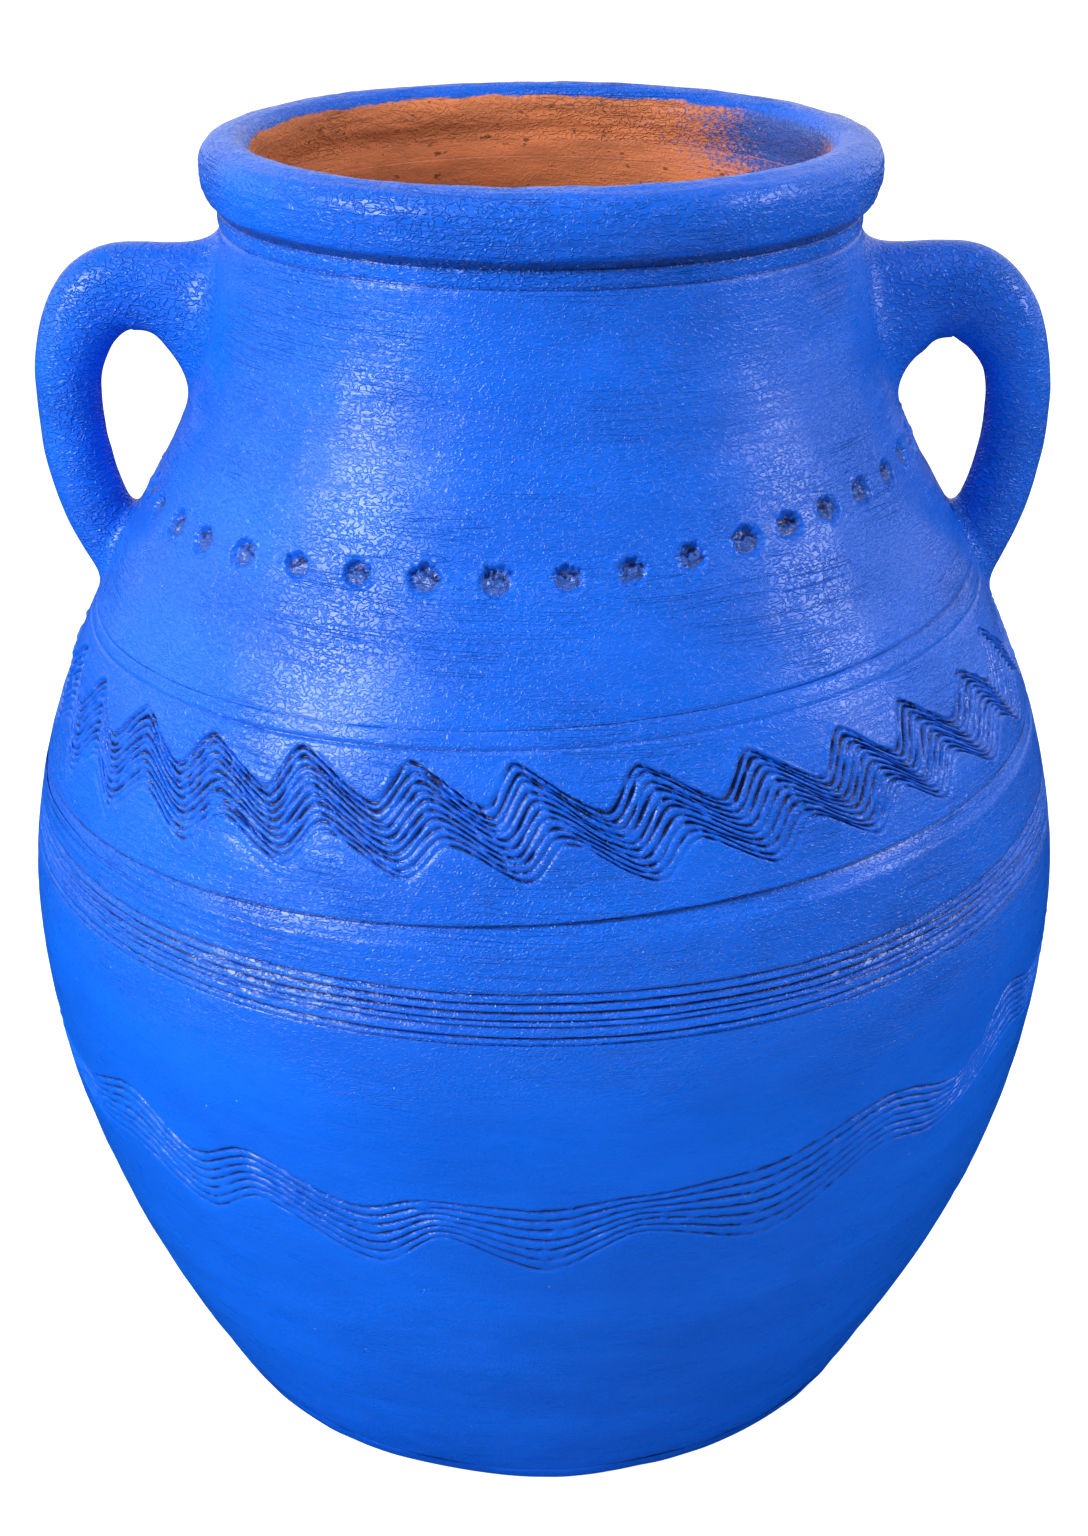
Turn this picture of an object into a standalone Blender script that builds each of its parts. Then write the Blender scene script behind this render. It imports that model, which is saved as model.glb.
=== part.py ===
"""Two-handled terracotta olive jar, built from the pieces that a potter joins.

The jar stands on z = 0, with its axis on Z, its handles along X and its front at -Y.
Every length is in metres. A height is measured up from the floor, a depth inwards from
the jar's outer skin, and an angle about the axis from the front, positive towards +X.
"""
import math

import bmesh
import bpy
from mathutils import Matrix, Vector

# Outer skin of the body: foot, belly, shoulder and neck, each a rise above the one before,
# with the skin's slope there as a share of its rise
FOOT_RADIUS = 0.181
FOOT_SLOPE_SHARE = 0.56
BELLY_HEIGHT = 0.2675
BELLY_RADIUS = 0.2635
SHOULDER_RISE = 0.2025
SHOULDER_RADIUS = 0.195
SHOULDER_SLOPE_SHARE = -0.60
NECK_RISE = 0.1305
NECK_RADIUS = 0.1503
NECK_SLOPE_SHARE = -0.08

# Clay thickness
WALL = 0.015
FLOOR_EDGE = 0.012
FOOT_BEVEL = 0.003

# Joints between the pieces: a skirt outside hangs over a tongue inside
JOINT_GAP = 0.0003
LAP = 0.007
TONGUE_DEPTH = 0.0075
SEAM_DEPTH = 0.0009
SEAM_WIDTH = 0.0016

# Ring marks of the belly, from the belly's widest ring upwards
BAND_RISE = 0.0383
BAND_GROOVES = 6
BAND_PITCH = 0.0042
BAND_DEPTH = 0.0016
STEP_RISE = 0.0517
STEP_FLOOR = 0.009
STEP_DEPTH = 0.0018
STEP_EDGE = 0.0008
GROOVE_RISE = 0.0673
GROOVE_WIDTH = 0.0030
GROOVE_DEPTH = 0.0012
SHOULDER_SEAM_RISE = 0.0077

# Ring of punched pits round the shoulder
PIT_RISE = 0.0578
PIT_COUNT = 40
PIT_FIRST_TURN = math.radians(3)
PIT_WIDTH = 0.0135
PIT_TALL = 0.0105
PIT_DEPTH = 0.0036
PIT_TAPER_SHARE = 0.62

# Lean of each ring mark, its rise as a share of the way to +X: the upper body sits askew
BAND_LEAN_SHARE = 0.018
STEP_LEAN_SHARE = 0.055
GROOVE_LEAN_SHARE = 0.042
SHOULDER_SEAM_LEAN_SHARE = 0.050
PIT_LEAN_SHARE = 0.068

# Collar coil and rolled rim
COLLAR_HEIGHT = 0.0083
COLLAR_LAP = 0.005
COVE_DEPTH = 0.0005
RIM_HEIGHT = 0.034
LIP_OVERHANG = 0.0090
LIP_UNDERCUT = 0.0055
LIP_EDGE_HEIGHT = 0.0058
LIP_WIDEST_HEIGHT = 0.0200
LIP_FLAT = 0.0045
LIP_INSET = 0.0026
LIP_INNER_DROP = 0.0110

# Handles: a roll of clay that leaves the neck, arches out and comes down on the shoulder
ROOT_DROP = 0.0500
ROOT_RUN = 0.055
ROOT_RISE_SHARE = 2.2
CREST_DROP = 0.0322
CREST_OUT = 0.0410
SIDE_DROP = 0.0880
SIDE_OUT = 0.0580
FOOT_DROP = 0.1695
ARCH_SHARE = 1.62
FOOT_RUN = 0.090
FOOT_ANGLE = math.radians(55)
ROOT_TALL = 0.0292
ROOT_WIDE = 0.0240
CREST_TALL = 0.0215
CREST_WIDE = 0.0175
ROLL = 0.0159
FOOT_ROLL = 0.0165
ROOT_SINK = 0.008

# Luting clay smeared round both ends of each handle
UPPER_LUTING = 0.0014
UPPER_LUTING_FLARE = 0.0036
UPPER_LUTING_REACH = 0.022
LOWER_LUTING = 0.0010
LOWER_LUTING_FLARE = 0.0042
LOWER_LUTING_REACH = 0.024

# Fineness of the turned and swept shapes
SIDES = 56
WALL_STEPS = 8
BELLY_STEPS = 4
TURN_STEPS = 2
HANDLE_SIDES = 12
HANDLE_STEPS = 8
LIP_STEPS = 4
PIT_SIDES = 8
OVERRUN = 0.010
MERGE = 0.000001
SHARP_ANGLE = math.radians(40)

SHOULDER_HEIGHT = BELLY_HEIGHT + SHOULDER_RISE
NECK_HEIGHT = SHOULDER_HEIGHT + NECK_RISE
BAND_HEIGHT = BELLY_HEIGHT + BAND_RISE
STEP_HEIGHT = BAND_HEIGHT + STEP_RISE
GROOVE_HEIGHT = STEP_HEIGHT + GROOVE_RISE
SHOULDER_SEAM_HEIGHT = GROOVE_HEIGHT + SHOULDER_SEAM_RISE
PIT_HEIGHT = SHOULDER_SEAM_HEIGHT + PIT_RISE
RIM_SEAM_HEIGHT = NECK_HEIGHT + COLLAR_HEIGHT
RIM_TOP = RIM_SEAM_HEIGHT + RIM_HEIGHT

BLUE_PAINT = (0.008, 0.115, 0.72)
BARE_CLAY = (0.42, 0.14, 0.06)
PAINT_ROUGHNESS = 0.42
CLAY_ROUGHNESS = 0.85


def cubic(share, start, end, start_run, end_run):
    """Cubic curve from start to end, with the runs as its tangents at the two ends."""
    square = share * share
    cube = square * share
    return (
        start * (2 * cube - 3 * square + 1)
        + start_run * (cube - 2 * square + share)
        + end * (3 * square - 2 * cube)
        + end_run * (cube - square)
    )


def skin_radius(height):
    """Radius of the outer skin: one cubic from foot to belly, to shoulder, to neck."""
    stations = (
        (0, FOOT_RADIUS, FOOT_SLOPE_SHARE),
        (BELLY_HEIGHT, BELLY_RADIUS, 0),
        (SHOULDER_HEIGHT, SHOULDER_RADIUS, SHOULDER_SLOPE_SHARE),
        (NECK_HEIGHT, NECK_RADIUS, NECK_SLOPE_SHARE),
    )
    if height <= 0:
        return FOOT_RADIUS + FOOT_SLOPE_SHARE * height
    for (low, r_low, s_low), (high, r_high, s_high) in zip(stations, stations[1:]):
        if height <= high:
            run = high - low
            return cubic((height - low) / run, r_low, r_high, s_low * run, s_high * run)
    return NECK_RADIUS


def skin_angle(height):
    """Angle from upright at which the skin draws in as it rises past a height."""
    return math.atan2(skin_radius(height - WALL) - skin_radius(height + WALL), 2 * WALL)


def lean(height):
    """Rise per metre towards +X at this height, even between one leaning mark and the next."""
    marks = (
        (0, 0),
        (BAND_HEIGHT, BAND_LEAN_SHARE),
        (STEP_HEIGHT, STEP_LEAN_SHARE),
        (GROOVE_HEIGHT, GROOVE_LEAN_SHARE),
        (SHOULDER_SEAM_HEIGHT, SHOULDER_SEAM_LEAN_SHARE),
        (PIT_HEIGHT, PIT_LEAN_SHARE),
        (NECK_HEIGHT, 0),
    )
    for (low, lean_low), (high, lean_high) in zip(marks, marks[1:]):
        if low <= height <= high:
            return lean_low + (lean_high - lean_low) * (height - low) / (high - low)
    return 0


def on_skin(height, depth=0):
    """Outline point at a height, so far inside the outer skin."""
    return skin_radius(height) - depth, height


def skin_run(low, high, count, depth=0):
    """Outline points spaced evenly up the skin, both ends included."""
    return [on_skin(low + (high - low) * step / count, depth) for step in range(count + 1)]


def joint_below(height, lap, tongue=TONGUE_DEPTH):
    """Lower end of a piece, from the skin inwards: its skirt, then the seat on the tongue."""
    return [
        on_skin(height + JOINT_GAP, SEAM_DEPTH),
        on_skin(height + JOINT_GAP, tongue),
        on_skin(height + lap, tongue),
        on_skin(height + lap, WALL),
    ]


def joint_above(height, lap, tongue=TONGUE_DEPTH):
    """Upper end of a piece, from the skin inwards: its ledge, then the tongue that stands up."""
    return [
        on_skin(height, SEAM_DEPTH),
        on_skin(height, tongue + JOINT_GAP),
        on_skin(height + lap - JOINT_GAP, tongue + JOINT_GAP),
        on_skin(height + lap - JOINT_GAP, WALL),
    ]


def arc(centre, across, up, start, end, steps):
    """Points of an elliptic arc in the outline plane, between two angles in degrees."""
    turns = [math.radians(start + (end - start) * step / steps) for step in range(steps + 1)]
    return [(centre[0] + across * math.cos(t), centre[1] + up * math.sin(t)) for t in turns]


def finish(name, bm, colour, roughness):
    """Make a closed mesh object of the bmesh, with its faces out and its own material."""
    bmesh.ops.remove_doubles(bm, verts=bm.verts, dist=MERGE)
    bmesh.ops.recalc_face_normals(bm, faces=bm.faces)
    mesh = bpy.data.meshes.new(name)
    bm.to_mesh(mesh)
    bm.free()
    mesh.shade_smooth()
    mesh.set_sharp_from_angle(angle=SHARP_ANGLE)
    piece = bpy.data.objects.new(name, mesh)
    bpy.context.scene.collection.objects.link(piece)
    material = bpy.data.materials.new(name)
    material.use_nodes = True
    shader = material.node_tree.nodes["Principled BSDF"]
    shader.inputs["Base Color"].default_value = (*colour, 1)
    shader.inputs["Roughness"].default_value = roughness
    mesh.materials.append(material)
    return piece


def settle(point):
    """Lift a turned point by the lean of its ring, and bring it back to its depth in the wall."""
    radius = math.hypot(point.x, point.y)
    depth = skin_radius(point.z) - radius
    height = point.z + lean(point.z) * point.x
    if radius > MERGE:
        settled = skin_radius(height) - depth
        point.x *= settled / radius
        point.y *= settled / radius
    point.z = height


def turned(name, outline, colour=BLUE_PAINT, roughness=PAINT_ROUGHNESS):
    """Spin an outline of (radius, height) points about the axis, then settle its leaning rings.

    An outline whose two ends lie on the axis makes a disc, any other closes on itself as a ring.
    """
    bm = bmesh.new()
    corners = [bm.verts.new((radius, 0, height)) for radius, height in outline]
    for first, second in zip(corners, corners[1:]):
        bm.edges.new((first, second))
    if outline[0][0] > 0:
        bm.edges.new((corners[-1], corners[0]))
    bmesh.ops.spin(
        bm,
        geom=bm.verts[:] + bm.edges[:],
        cent=(0, 0, 0),
        axis=(0, 0, 1),
        angle=math.tau,
        steps=SIDES,
        use_merge=True,
    )
    for vert in bm.verts:
        settle(vert.co)
    return finish(name, bm, colour, roughness)


def base_disc():
    """Slab that the jar stands on: a flat disc whose middle stands up inside the wall's foot."""
    rim = on_skin(FOOT_BEVEL)
    outline = [(0, 0), (rim[0] - FOOT_BEVEL, 0), rim, on_skin(FLOOR_EDGE - SEAM_WIDTH)]
    outline += joint_above(FLOOR_EDGE, LAP)[:3]
    outline.append((0, FLOOR_EDGE + LAP - JOINT_GAP))
    return turned("base_disc", outline)


def lower_wall():
    """First lift of the wall: from the slab, out over the belly, to the foot of the comb band."""
    outline = skin_run(FLOOR_EDGE + SEAM_WIDTH, BELLY_HEIGHT, WALL_STEPS)
    outline += skin_run(BELLY_HEIGHT, BAND_HEIGHT - SEAM_WIDTH, TURN_STEPS)[1:]
    outline += joint_above(BAND_HEIGHT, LAP)
    outline += skin_run(BAND_HEIGHT, FLOOR_EDGE + LAP, WALL_STEPS, WALL)[:-1]
    outline += reversed(joint_below(FLOOR_EDGE, LAP))
    return turned("lower_wall", outline)


def belly_marks():
    """Skin of the second lift, upwards: the combed band, the step and the lower ring groove."""
    points = []
    ridge = BAND_HEIGHT + BAND_PITCH / 2
    for _ in range(BAND_GROOVES):
        points += [on_skin(ridge), on_skin(ridge + BAND_PITCH / 2, BAND_DEPTH)]
        ridge += BAND_PITCH
    points.append(on_skin(ridge))
    points += [
        on_skin(STEP_HEIGHT - STEP_FLOOR),
        on_skin(STEP_HEIGHT - STEP_EDGE, STEP_DEPTH),
        on_skin(STEP_HEIGHT),
    ]
    groove_low = GROOVE_HEIGHT - GROOVE_WIDTH / 2
    groove_high = GROOVE_HEIGHT + GROOVE_WIDTH / 2
    points += skin_run(STEP_HEIGHT, groove_low, BELLY_STEPS)[1:]
    points += [on_skin(GROOVE_HEIGHT, GROOVE_DEPTH), on_skin(groove_high)]
    points.append(on_skin(SHOULDER_SEAM_HEIGHT - SEAM_WIDTH))
    return points


def belly_wall():
    """Second lift of the wall: the ring that carries the band, the step and the ring grooves."""
    outline = belly_marks()
    outline += joint_above(SHOULDER_SEAM_HEIGHT, LAP)
    outline += skin_run(SHOULDER_SEAM_HEIGHT, BAND_HEIGHT + LAP, BELLY_STEPS, WALL)[:-1]
    outline += reversed(joint_below(BAND_HEIGHT, LAP))
    return turned("belly_wall", outline)


def shoulder_skin():
    """Skin of the third lift, from the ring groove up to the scored line under the collar."""
    return skin_run(SHOULDER_SEAM_HEIGHT + SEAM_WIDTH, NECK_HEIGHT - SEAM_WIDTH, WALL_STEPS)


def pit_cutter():
    """Studs that punch the ring of pits: squat tapered pegs, square to the leaning skin."""
    bm = bmesh.new()
    slope = skin_angle(PIT_HEIGHT)
    for pit in range(PIT_COUNT):
        turn = PIT_FIRST_TURN + math.tau * pit / PIT_COUNT - math.pi / 2
        spot = Vector((skin_radius(PIT_HEIGHT) * math.cos(turn), 0, PIT_HEIGHT))
        spot.y = skin_radius(PIT_HEIGHT) * math.sin(turn)
        settle(spot)
        place = Matrix.Translation(spot) @ Matrix.Rotation(turn, 4, "Z")
        place @= Matrix.Rotation(math.pi / 2 - slope, 4, "Y")
        place @= Matrix.Diagonal((PIT_TALL / PIT_WIDTH, 1, 1, 1))
        bmesh.ops.create_cone(
            bm,
            cap_ends=True,
            segments=PIT_SIDES,
            radius1=PIT_WIDTH / 2 * PIT_TAPER_SHARE,
            radius2=PIT_WIDTH / 2 * (2 - PIT_TAPER_SHARE),
            depth=2 * PIT_DEPTH,
            matrix=place,
        )
    return hidden(finish("pit_cutter", bm, BARE_CLAY, CLAY_ROUGHNESS))


def hidden(cutter):
    """Mark an object as a cutter, which is no piece of the jar."""
    cutter.hide_render = True
    cutter.display_type = "WIRE"
    return cutter


def cut(piece, cutter):
    """Take the cutter's space out of a piece."""
    modifier = piece.modifiers.new(cutter.name, "BOOLEAN")
    modifier.operation = "DIFFERENCE"
    modifier.object = cutter


def shoulder_wall():
    """Third lift of the wall: it draws in to the neck and carries the ring of punched pits."""
    outline = shoulder_skin()
    outline += joint_above(NECK_HEIGHT, COLLAR_LAP)
    outline += skin_run(NECK_HEIGHT, SHOULDER_SEAM_HEIGHT + LAP, WALL_STEPS, WALL)[:-1]
    outline += reversed(joint_below(SHOULDER_SEAM_HEIGHT, LAP))
    wall = turned("shoulder_wall", outline)
    cut(wall, pit_cutter())
    return wall


def collar():
    """Coil laid on the shoulder's edge, under the rim, with the scored line at its foot."""
    outline = [on_skin(NECK_HEIGHT + SEAM_WIDTH)]
    outline.append(on_skin(RIM_SEAM_HEIGHT - SEAM_WIDTH, COVE_DEPTH))
    outline += joint_above(RIM_SEAM_HEIGHT, COLLAR_LAP)
    outline += reversed(joint_below(NECK_HEIGHT, COLLAR_LAP))
    return turned("collar", outline)


def rim_skin():
    """Outer skin of the rolled rim: the undercut, the full lip and its round top."""
    edge = (NECK_RADIUS + LIP_UNDERCUT, RIM_SEAM_HEIGHT + LIP_EDGE_HEIGHT)
    widest_height = RIM_SEAM_HEIGHT + LIP_WIDEST_HEIGHT
    lip = NECK_RADIUS + LIP_OVERHANG
    flat_outer = lip - (RIM_TOP - widest_height)
    under = arc(
        (edge[0], widest_height), lip - edge[0], widest_height - edge[1], -90, 0, LIP_STEPS
    )
    over = arc((flat_outer, widest_height), lip - flat_outer, RIM_TOP - widest_height, 0, 90,
               LIP_STEPS)
    return under + over[1:]


def rim():
    """Rolled rim: a fat lip that overhangs the collar, with a flat top and a soft inner edge."""
    mouth = NECK_RADIUS - WALL - LIP_INSET
    outer = rim_skin()
    inner_top = (outer[-1][0] - LIP_FLAT, RIM_TOP)
    inner = arc((inner_top[0], RIM_TOP - LIP_INNER_DROP), inner_top[0] - mouth, LIP_INNER_DROP,
                90, 180, LIP_STEPS)
    outline = [on_skin(RIM_SEAM_HEIGHT + SEAM_WIDTH, COVE_DEPTH)] + outer + inner
    outline += reversed(joint_below(RIM_SEAM_HEIGHT, COLLAR_LAP))
    return turned("rim", outline)


def jar_filler():
    """The whole outer body, one joint gap proud of its skin, which trims what sits on it."""
    outline = [(0, BELLY_HEIGHT)]
    outline += [(r + JOINT_GAP, z) for r, z in [on_skin(BELLY_HEIGHT)] + belly_marks()]
    outline += [(r + JOINT_GAP, z) for r, z in [on_skin(SHOULDER_SEAM_HEIGHT)] + shoulder_skin()]
    outline += [(r + JOINT_GAP, z) for r, z in [on_skin(NECK_HEIGHT)] + rim_skin()]
    outline.append((0, RIM_TOP))
    return hidden(turned("jar_filler", outline))


def handle_path():
    """Centre line of a handle in the XZ plane, as (place, tall radius, wide radius) stations.

    Three cubics: from inside the neck up to the crest, round to the side, down to the shoulder.
    """
    root_height = NECK_HEIGHT - ROOT_DROP
    crest_height = NECK_HEIGHT - CREST_DROP
    side_height = NECK_HEIGHT - SIDE_DROP
    foot_height = NECK_HEIGHT - FOOT_DROP
    root = Vector((skin_radius(root_height) - ROOT_SINK, 0, root_height))
    crest = Vector((skin_radius(crest_height) + CREST_OUT, 0, crest_height))
    side = Vector((skin_radius(side_height) + SIDE_OUT, 0, side_height))
    foot = Vector((skin_radius(foot_height) - ROOT_SINK, 0, foot_height))
    rise = Vector((ROOT_RUN, 0, (crest_height - root_height) * ROOT_RISE_SHARE))
    out = Vector(((side.x - crest.x) * ARCH_SHARE, 0, 0))
    down = Vector((0, 0, (side_height - crest_height) * ARCH_SHARE))
    dip = FOOT_ANGLE - skin_angle(foot_height)
    inward = Vector((-math.sin(dip), 0, -math.cos(dip))) * FOOT_RUN
    spans = (
        (root, crest, rise, out, (ROOT_TALL, ROOT_WIDE), (CREST_TALL, CREST_WIDE)),
        (crest, side, out, down, (CREST_TALL, CREST_WIDE), (ROLL, ROLL)),
        (side, foot, down, inward, (ROLL, ROLL), (FOOT_ROLL, FOOT_ROLL)),
    )
    stations = []
    for start, end, start_run, end_run, start_size, end_size in spans:
        first = 1 if stations else 0
        for step in range(first, HANDLE_STEPS + 1):
            share = step / HANDLE_STEPS
            place = cubic(share, start, end, start_run, end_run)
            ease = share * share * (3 - 2 * share)
            tall = start_size[0] + (end_size[0] - start_size[0]) * ease
            wide = start_size[1] + (end_size[1] - start_size[1]) * ease
            stations.append((place, tall, wide))
    return stations


def swept(name, stations, side):
    """Carry an ellipse along stations in the XZ plane; side is 1 for +X and -1 for -X."""
    bm = bmesh.new()
    loops = []
    for index, (place, tall, wide) in enumerate(stations):
        before = stations[max(index - 1, 0)][0]
        after = stations[min(index + 1, len(stations) - 1)][0]
        along = (after - before).normalized()
        across = Vector((-along.z, 0, along.x))
        ring = []
        for corner in range(HANDLE_SIDES):
            turn = math.tau * corner / HANDLE_SIDES
            spot = place + across * tall * math.cos(turn)
            spot.y += wide * math.sin(turn)
            spot.x *= side
            ring.append(bm.verts.new(spot))
        loops.append(ring)
    for low, high in zip(loops, loops[1:]):
        for corner in range(HANDLE_SIDES):
            following = (corner + 1) % HANDLE_SIDES
            bm.faces.new((low[corner], low[following], high[following], high[corner]))
    bm.faces.new(loops[0])
    bm.faces.new(loops[-1])
    return finish(name, bm, BLUE_PAINT, PAINT_ROUGHNESS)


def grown(stations, growth):
    """The same stations with both radii larger by a fixed amount, and both ends run on."""
    run_on = []
    for (place, tall, wide), (inner, _, _) in (stations[:2], stations[:-3:-1]):
        end = place + (place - inner).normalized() * OVERRUN
        run_on.append((end, tall + growth, wide + growth))
    middle = [(place, tall + growth, wide + growth) for place, tall, wide in stations]
    return run_on[:1] + middle + run_on[1:]


def luting_stations(stations, thickness, flare, reach):
    """Blank of the luting clay round the first station's end: wide at the wall, thin beyond."""
    start = stations[0][0]
    blank = []
    for place, tall, wide in stations:
        beyond = (place - start).length - ROOT_SINK
        if beyond > reach:
            break
        spread = thickness + flare * (1 - max(0, beyond) / reach) ** 2
        blank.append((place, tall + spread, wide + spread))
    return blank


def handle(side_name, side, filler):
    """One handle and the luting clay round its two ends, trimmed to the jar's skin."""
    stations = handle_path()
    roll = swept(side_name + "_handle", stations, side)
    cut(roll, filler)
    sheath = hidden(swept(side_name + "_sheath", grown(stations, JOINT_GAP), side))
    lutings = (
        ("upper", stations, UPPER_LUTING, UPPER_LUTING_FLARE, UPPER_LUTING_REACH),
        ("lower", stations[::-1], LOWER_LUTING, LOWER_LUTING_FLARE, LOWER_LUTING_REACH),
    )
    for end_name, end, thickness, flare, reach in lutings:
        blank = luting_stations(end, thickness, flare, reach)
        clay = swept(side_name + "_" + end_name + "_luting", blank, side)
        cut(clay, sheath)
        cut(clay, filler)


def build():
    """Clear the scene and make every piece of the jar."""
    for old in list(bpy.data.objects):
        bpy.data.objects.remove(old, do_unlink=True)
    base_disc()
    lower_wall()
    belly_wall()
    shoulder_wall()
    collar()
    rim()
    filler = jar_filler()
    for side_name, side in (("left", -1), ("right", 1)):
        handle(side_name, side, filler)
    bpy.context.view_layer.update()
    stand = bpy.data.objects.new("jar", None)
    bpy.context.scene.collection.objects.link(stand)
    for piece in bpy.context.scene.objects:
        if piece.type == "MESH":
            piece.parent = stand


build()
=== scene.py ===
"""Two-handled blue olive jar: the potter's surface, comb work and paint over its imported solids.

Every length is in metres. A turn is an angle about the jar's axis in radians, from the front
at -Y and positive towards +X. A rise is measured outwards from the skin, square to it.
"""

import math

import bpy
import numpy as np
from bpy.props import FloatProperty, FloatVectorProperty, IntProperty, PointerProperty
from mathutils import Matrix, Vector


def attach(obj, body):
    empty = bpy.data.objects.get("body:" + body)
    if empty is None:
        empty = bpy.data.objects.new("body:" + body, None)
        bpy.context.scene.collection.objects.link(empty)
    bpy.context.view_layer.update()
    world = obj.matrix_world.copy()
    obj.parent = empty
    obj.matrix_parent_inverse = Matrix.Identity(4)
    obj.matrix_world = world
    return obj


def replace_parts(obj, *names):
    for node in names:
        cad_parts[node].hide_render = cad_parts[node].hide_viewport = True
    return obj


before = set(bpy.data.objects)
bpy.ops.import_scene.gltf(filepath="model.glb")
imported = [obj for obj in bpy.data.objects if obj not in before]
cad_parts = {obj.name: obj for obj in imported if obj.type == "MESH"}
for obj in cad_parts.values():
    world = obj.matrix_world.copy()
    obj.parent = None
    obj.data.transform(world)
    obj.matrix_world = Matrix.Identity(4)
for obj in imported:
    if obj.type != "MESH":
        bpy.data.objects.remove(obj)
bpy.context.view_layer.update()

bl_info = {
    "name": "Olive Jar",
    "version": (1, 0, 0),
    "blender": (4, 5, 0),
    "location": "View3D > Sidebar > Olive Jar",
    "description": "Builds the skin, comb work, handles and paint of a two-handled olive jar",
    "category": "Object",
}

FULL_TURN = 2 * math.pi

# The lapped joints between the clay pieces
JOINT_GAP = 0.00014    # between the two sides of a joint
INNER_GAP = 0.0001     # over the end of a tongue
TONGUE = 0.0075        # how far behind the skin a tongue starts
SEAM_DEPTH = 0.0004    # how far a joint's open edge is drawn in
LAP = 0.007            # height of the wall's tongues
COLLAR_LAP = 0.005     # height of the tongues at the step, the collar and the rim
JOINT_SHADE = 0.6      # how dark a joint is, from 0 to 1

# The step over the grooved band
STEP_SEAM = JOINT_GAP + 0.0002    # how far its joint lies under its edge
SHELF = 0.0014                    # how far over its edge the comb work's clay starts

# How far the clay smeared round a handle's roots reaches, on the roll and on the wall
UPPER_SMEAR = (0.020, 0.016)
LOWER_SMEAR = (0.012, 0.009)

# The random lattice under every ripple: its rows, and the one that lies at the floor
LATTICE_ROWS = 509
LATTICE_FLOOR = 200

# Comb marks that face the viewer, as (degrees from the front, height): crest and dip in turn
ZIGZAG_FRONT = (
    (-73, 0.4075), (-69.3, 0.3878), (-62.6, 0.4078), (-57.4, 0.3903), (-51.5, 0.4100),
    (-44, 0.3945), (-39.4, 0.4123), (-31, 0.3978), (-27.4, 0.4172), (-18.1, 0.3998),
    (-14.4, 0.4176), (-5.8, 0.4015), (-3.2, 0.4198), (6.7, 0.3998), (10.2, 0.4183),
    (19.2, 0.4010), (22.8, 0.4185), (31.3, 0.4010), (34.7, 0.4190), (42.1, 0.4020),
    (44.8, 0.4208), (53.1, 0.4033), (58.1, 0.4183), (65.2, 0.4043), (68.6, 0.4243),
    (77, 0.4050),
)
# The long wave's first and last furrow, in the same way
SWELL_TOP_FRONT = (
    (-60, 0.2125), (-48, 0.2300), (-39, 0.2125), (-31, 0.2275), (-19, 0.2125),
    (-11, 0.2225), (0, 0.2200), (9, 0.2262), (20, 0.2300), (37.5, 0.2487),
    (47, 0.2375), (58, 0.2662), (66, 0.2550),
)
SWELL_FOOT_FRONT = (
    (-58, 0.1925), (-49, 0.1975), (-38, 0.1825), (-30, 0.2025), (-17, 0.1812),
    (-10, 0.2025), (0, 0.1850), (10, 0.2062), (22, 0.1925), (37.5, 0.2225),
    (44, 0.2162), (60, 0.2400), (66, 0.2325),
)
# Pits that face the viewer, in degrees from the front
PIT_TURNS_FRONT = (
    -72.3, -62.5, -53.7, -44.6, -34.7, -25.2, -15.7, -6.2, 3.2, 11.7, 20.2, 28.8, 36.3, 44.2,
    52.8, 62.1,
)

# Every random field: strength, cells round the jar, cells to a metre of height, seed
SOFT_LUMPS = (0.00035, 22, 22, 1)
SMALL_LUMPS = (0.00016, 90, 90, 2)
FINGER_RINGS = (0.00007, 7, 260, 3)
FINE_RINGS = (0.00004, 19, 480, 4)
BAND_WOBBLE = (0.00030, 40, 90, 11)
BAND_BREAKS = (0.35, 300, 200, 12)
ZIGZAG_BURR = (0.5, 500, 4, 26)
ZIGZAG_CRUMBS = (1.0, 1000, 20, 27)
ZIGZAG_TOP_SHADE = (0.5, 300, 12, 28)
ZIGZAG_STRAY = (1.0, 130, 9, 29)
WAVE_PATCHES = (0.16, 120, 8, 57)
INNER_FINGERS = (0.0005, 9, 60, 31)
INNER_LUMPS = (0.0002, 40, 150, 32)
FOOT_SCUFFS = (0.0005, 24, 160, 41)
NECK_SHADE = (0.5, 60, 1, 45)
PIT_EDGE = (0.10, 900, 700, 62)
PIT_LIP = (0.22, 620, 420, 63)
PIT_BURR = (0.7, 500, 400, 64)
PIT_CRUMBS = (1.0, 1100, 900, 65)
RIM_LUMPS = (0.00022, 11, 40, 71)
RIM_SMALL_LUMPS = (0.00016, 60, 160, 72)
RIM_LINES = (0.00013, 70, 900, 73)
RIM_FINE_LINES = (0.00008, 160, 1400, 74)

# First seeds of the two combs' furrows, of the rolls' lumps, of the smears' and of the pits
ZIGZAG_SEED, WAVE_SEED = 21, 51
ROLL_SEED, SMEAR_SEED = 81, 91
PIT_SEED = 61

# How much of a random field's height goes to each line of a comb, and to each whole tooth
LINE_STEP = 0.1
TOOTH_STEP = 0.11

# Every paint: name, wrinkles, brush lines, grain, wrinkle scale, over bare clay
PAINTS = (
    ("body_paint", 0.95, 1.3, 0.2, 370.0, False),
    ("rim_paint", 1.9, 2.4, 0.2, 290.0, False),
    ("lip_paint", 1.9, 2.4, 0.2, 290.0, True),
    ("lined_clay", 0.7, 1.0, 0.25, 320.0, True),
    ("handle_paint", 2.3, 0.1, 0.3, 270.0, False),
)

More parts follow.
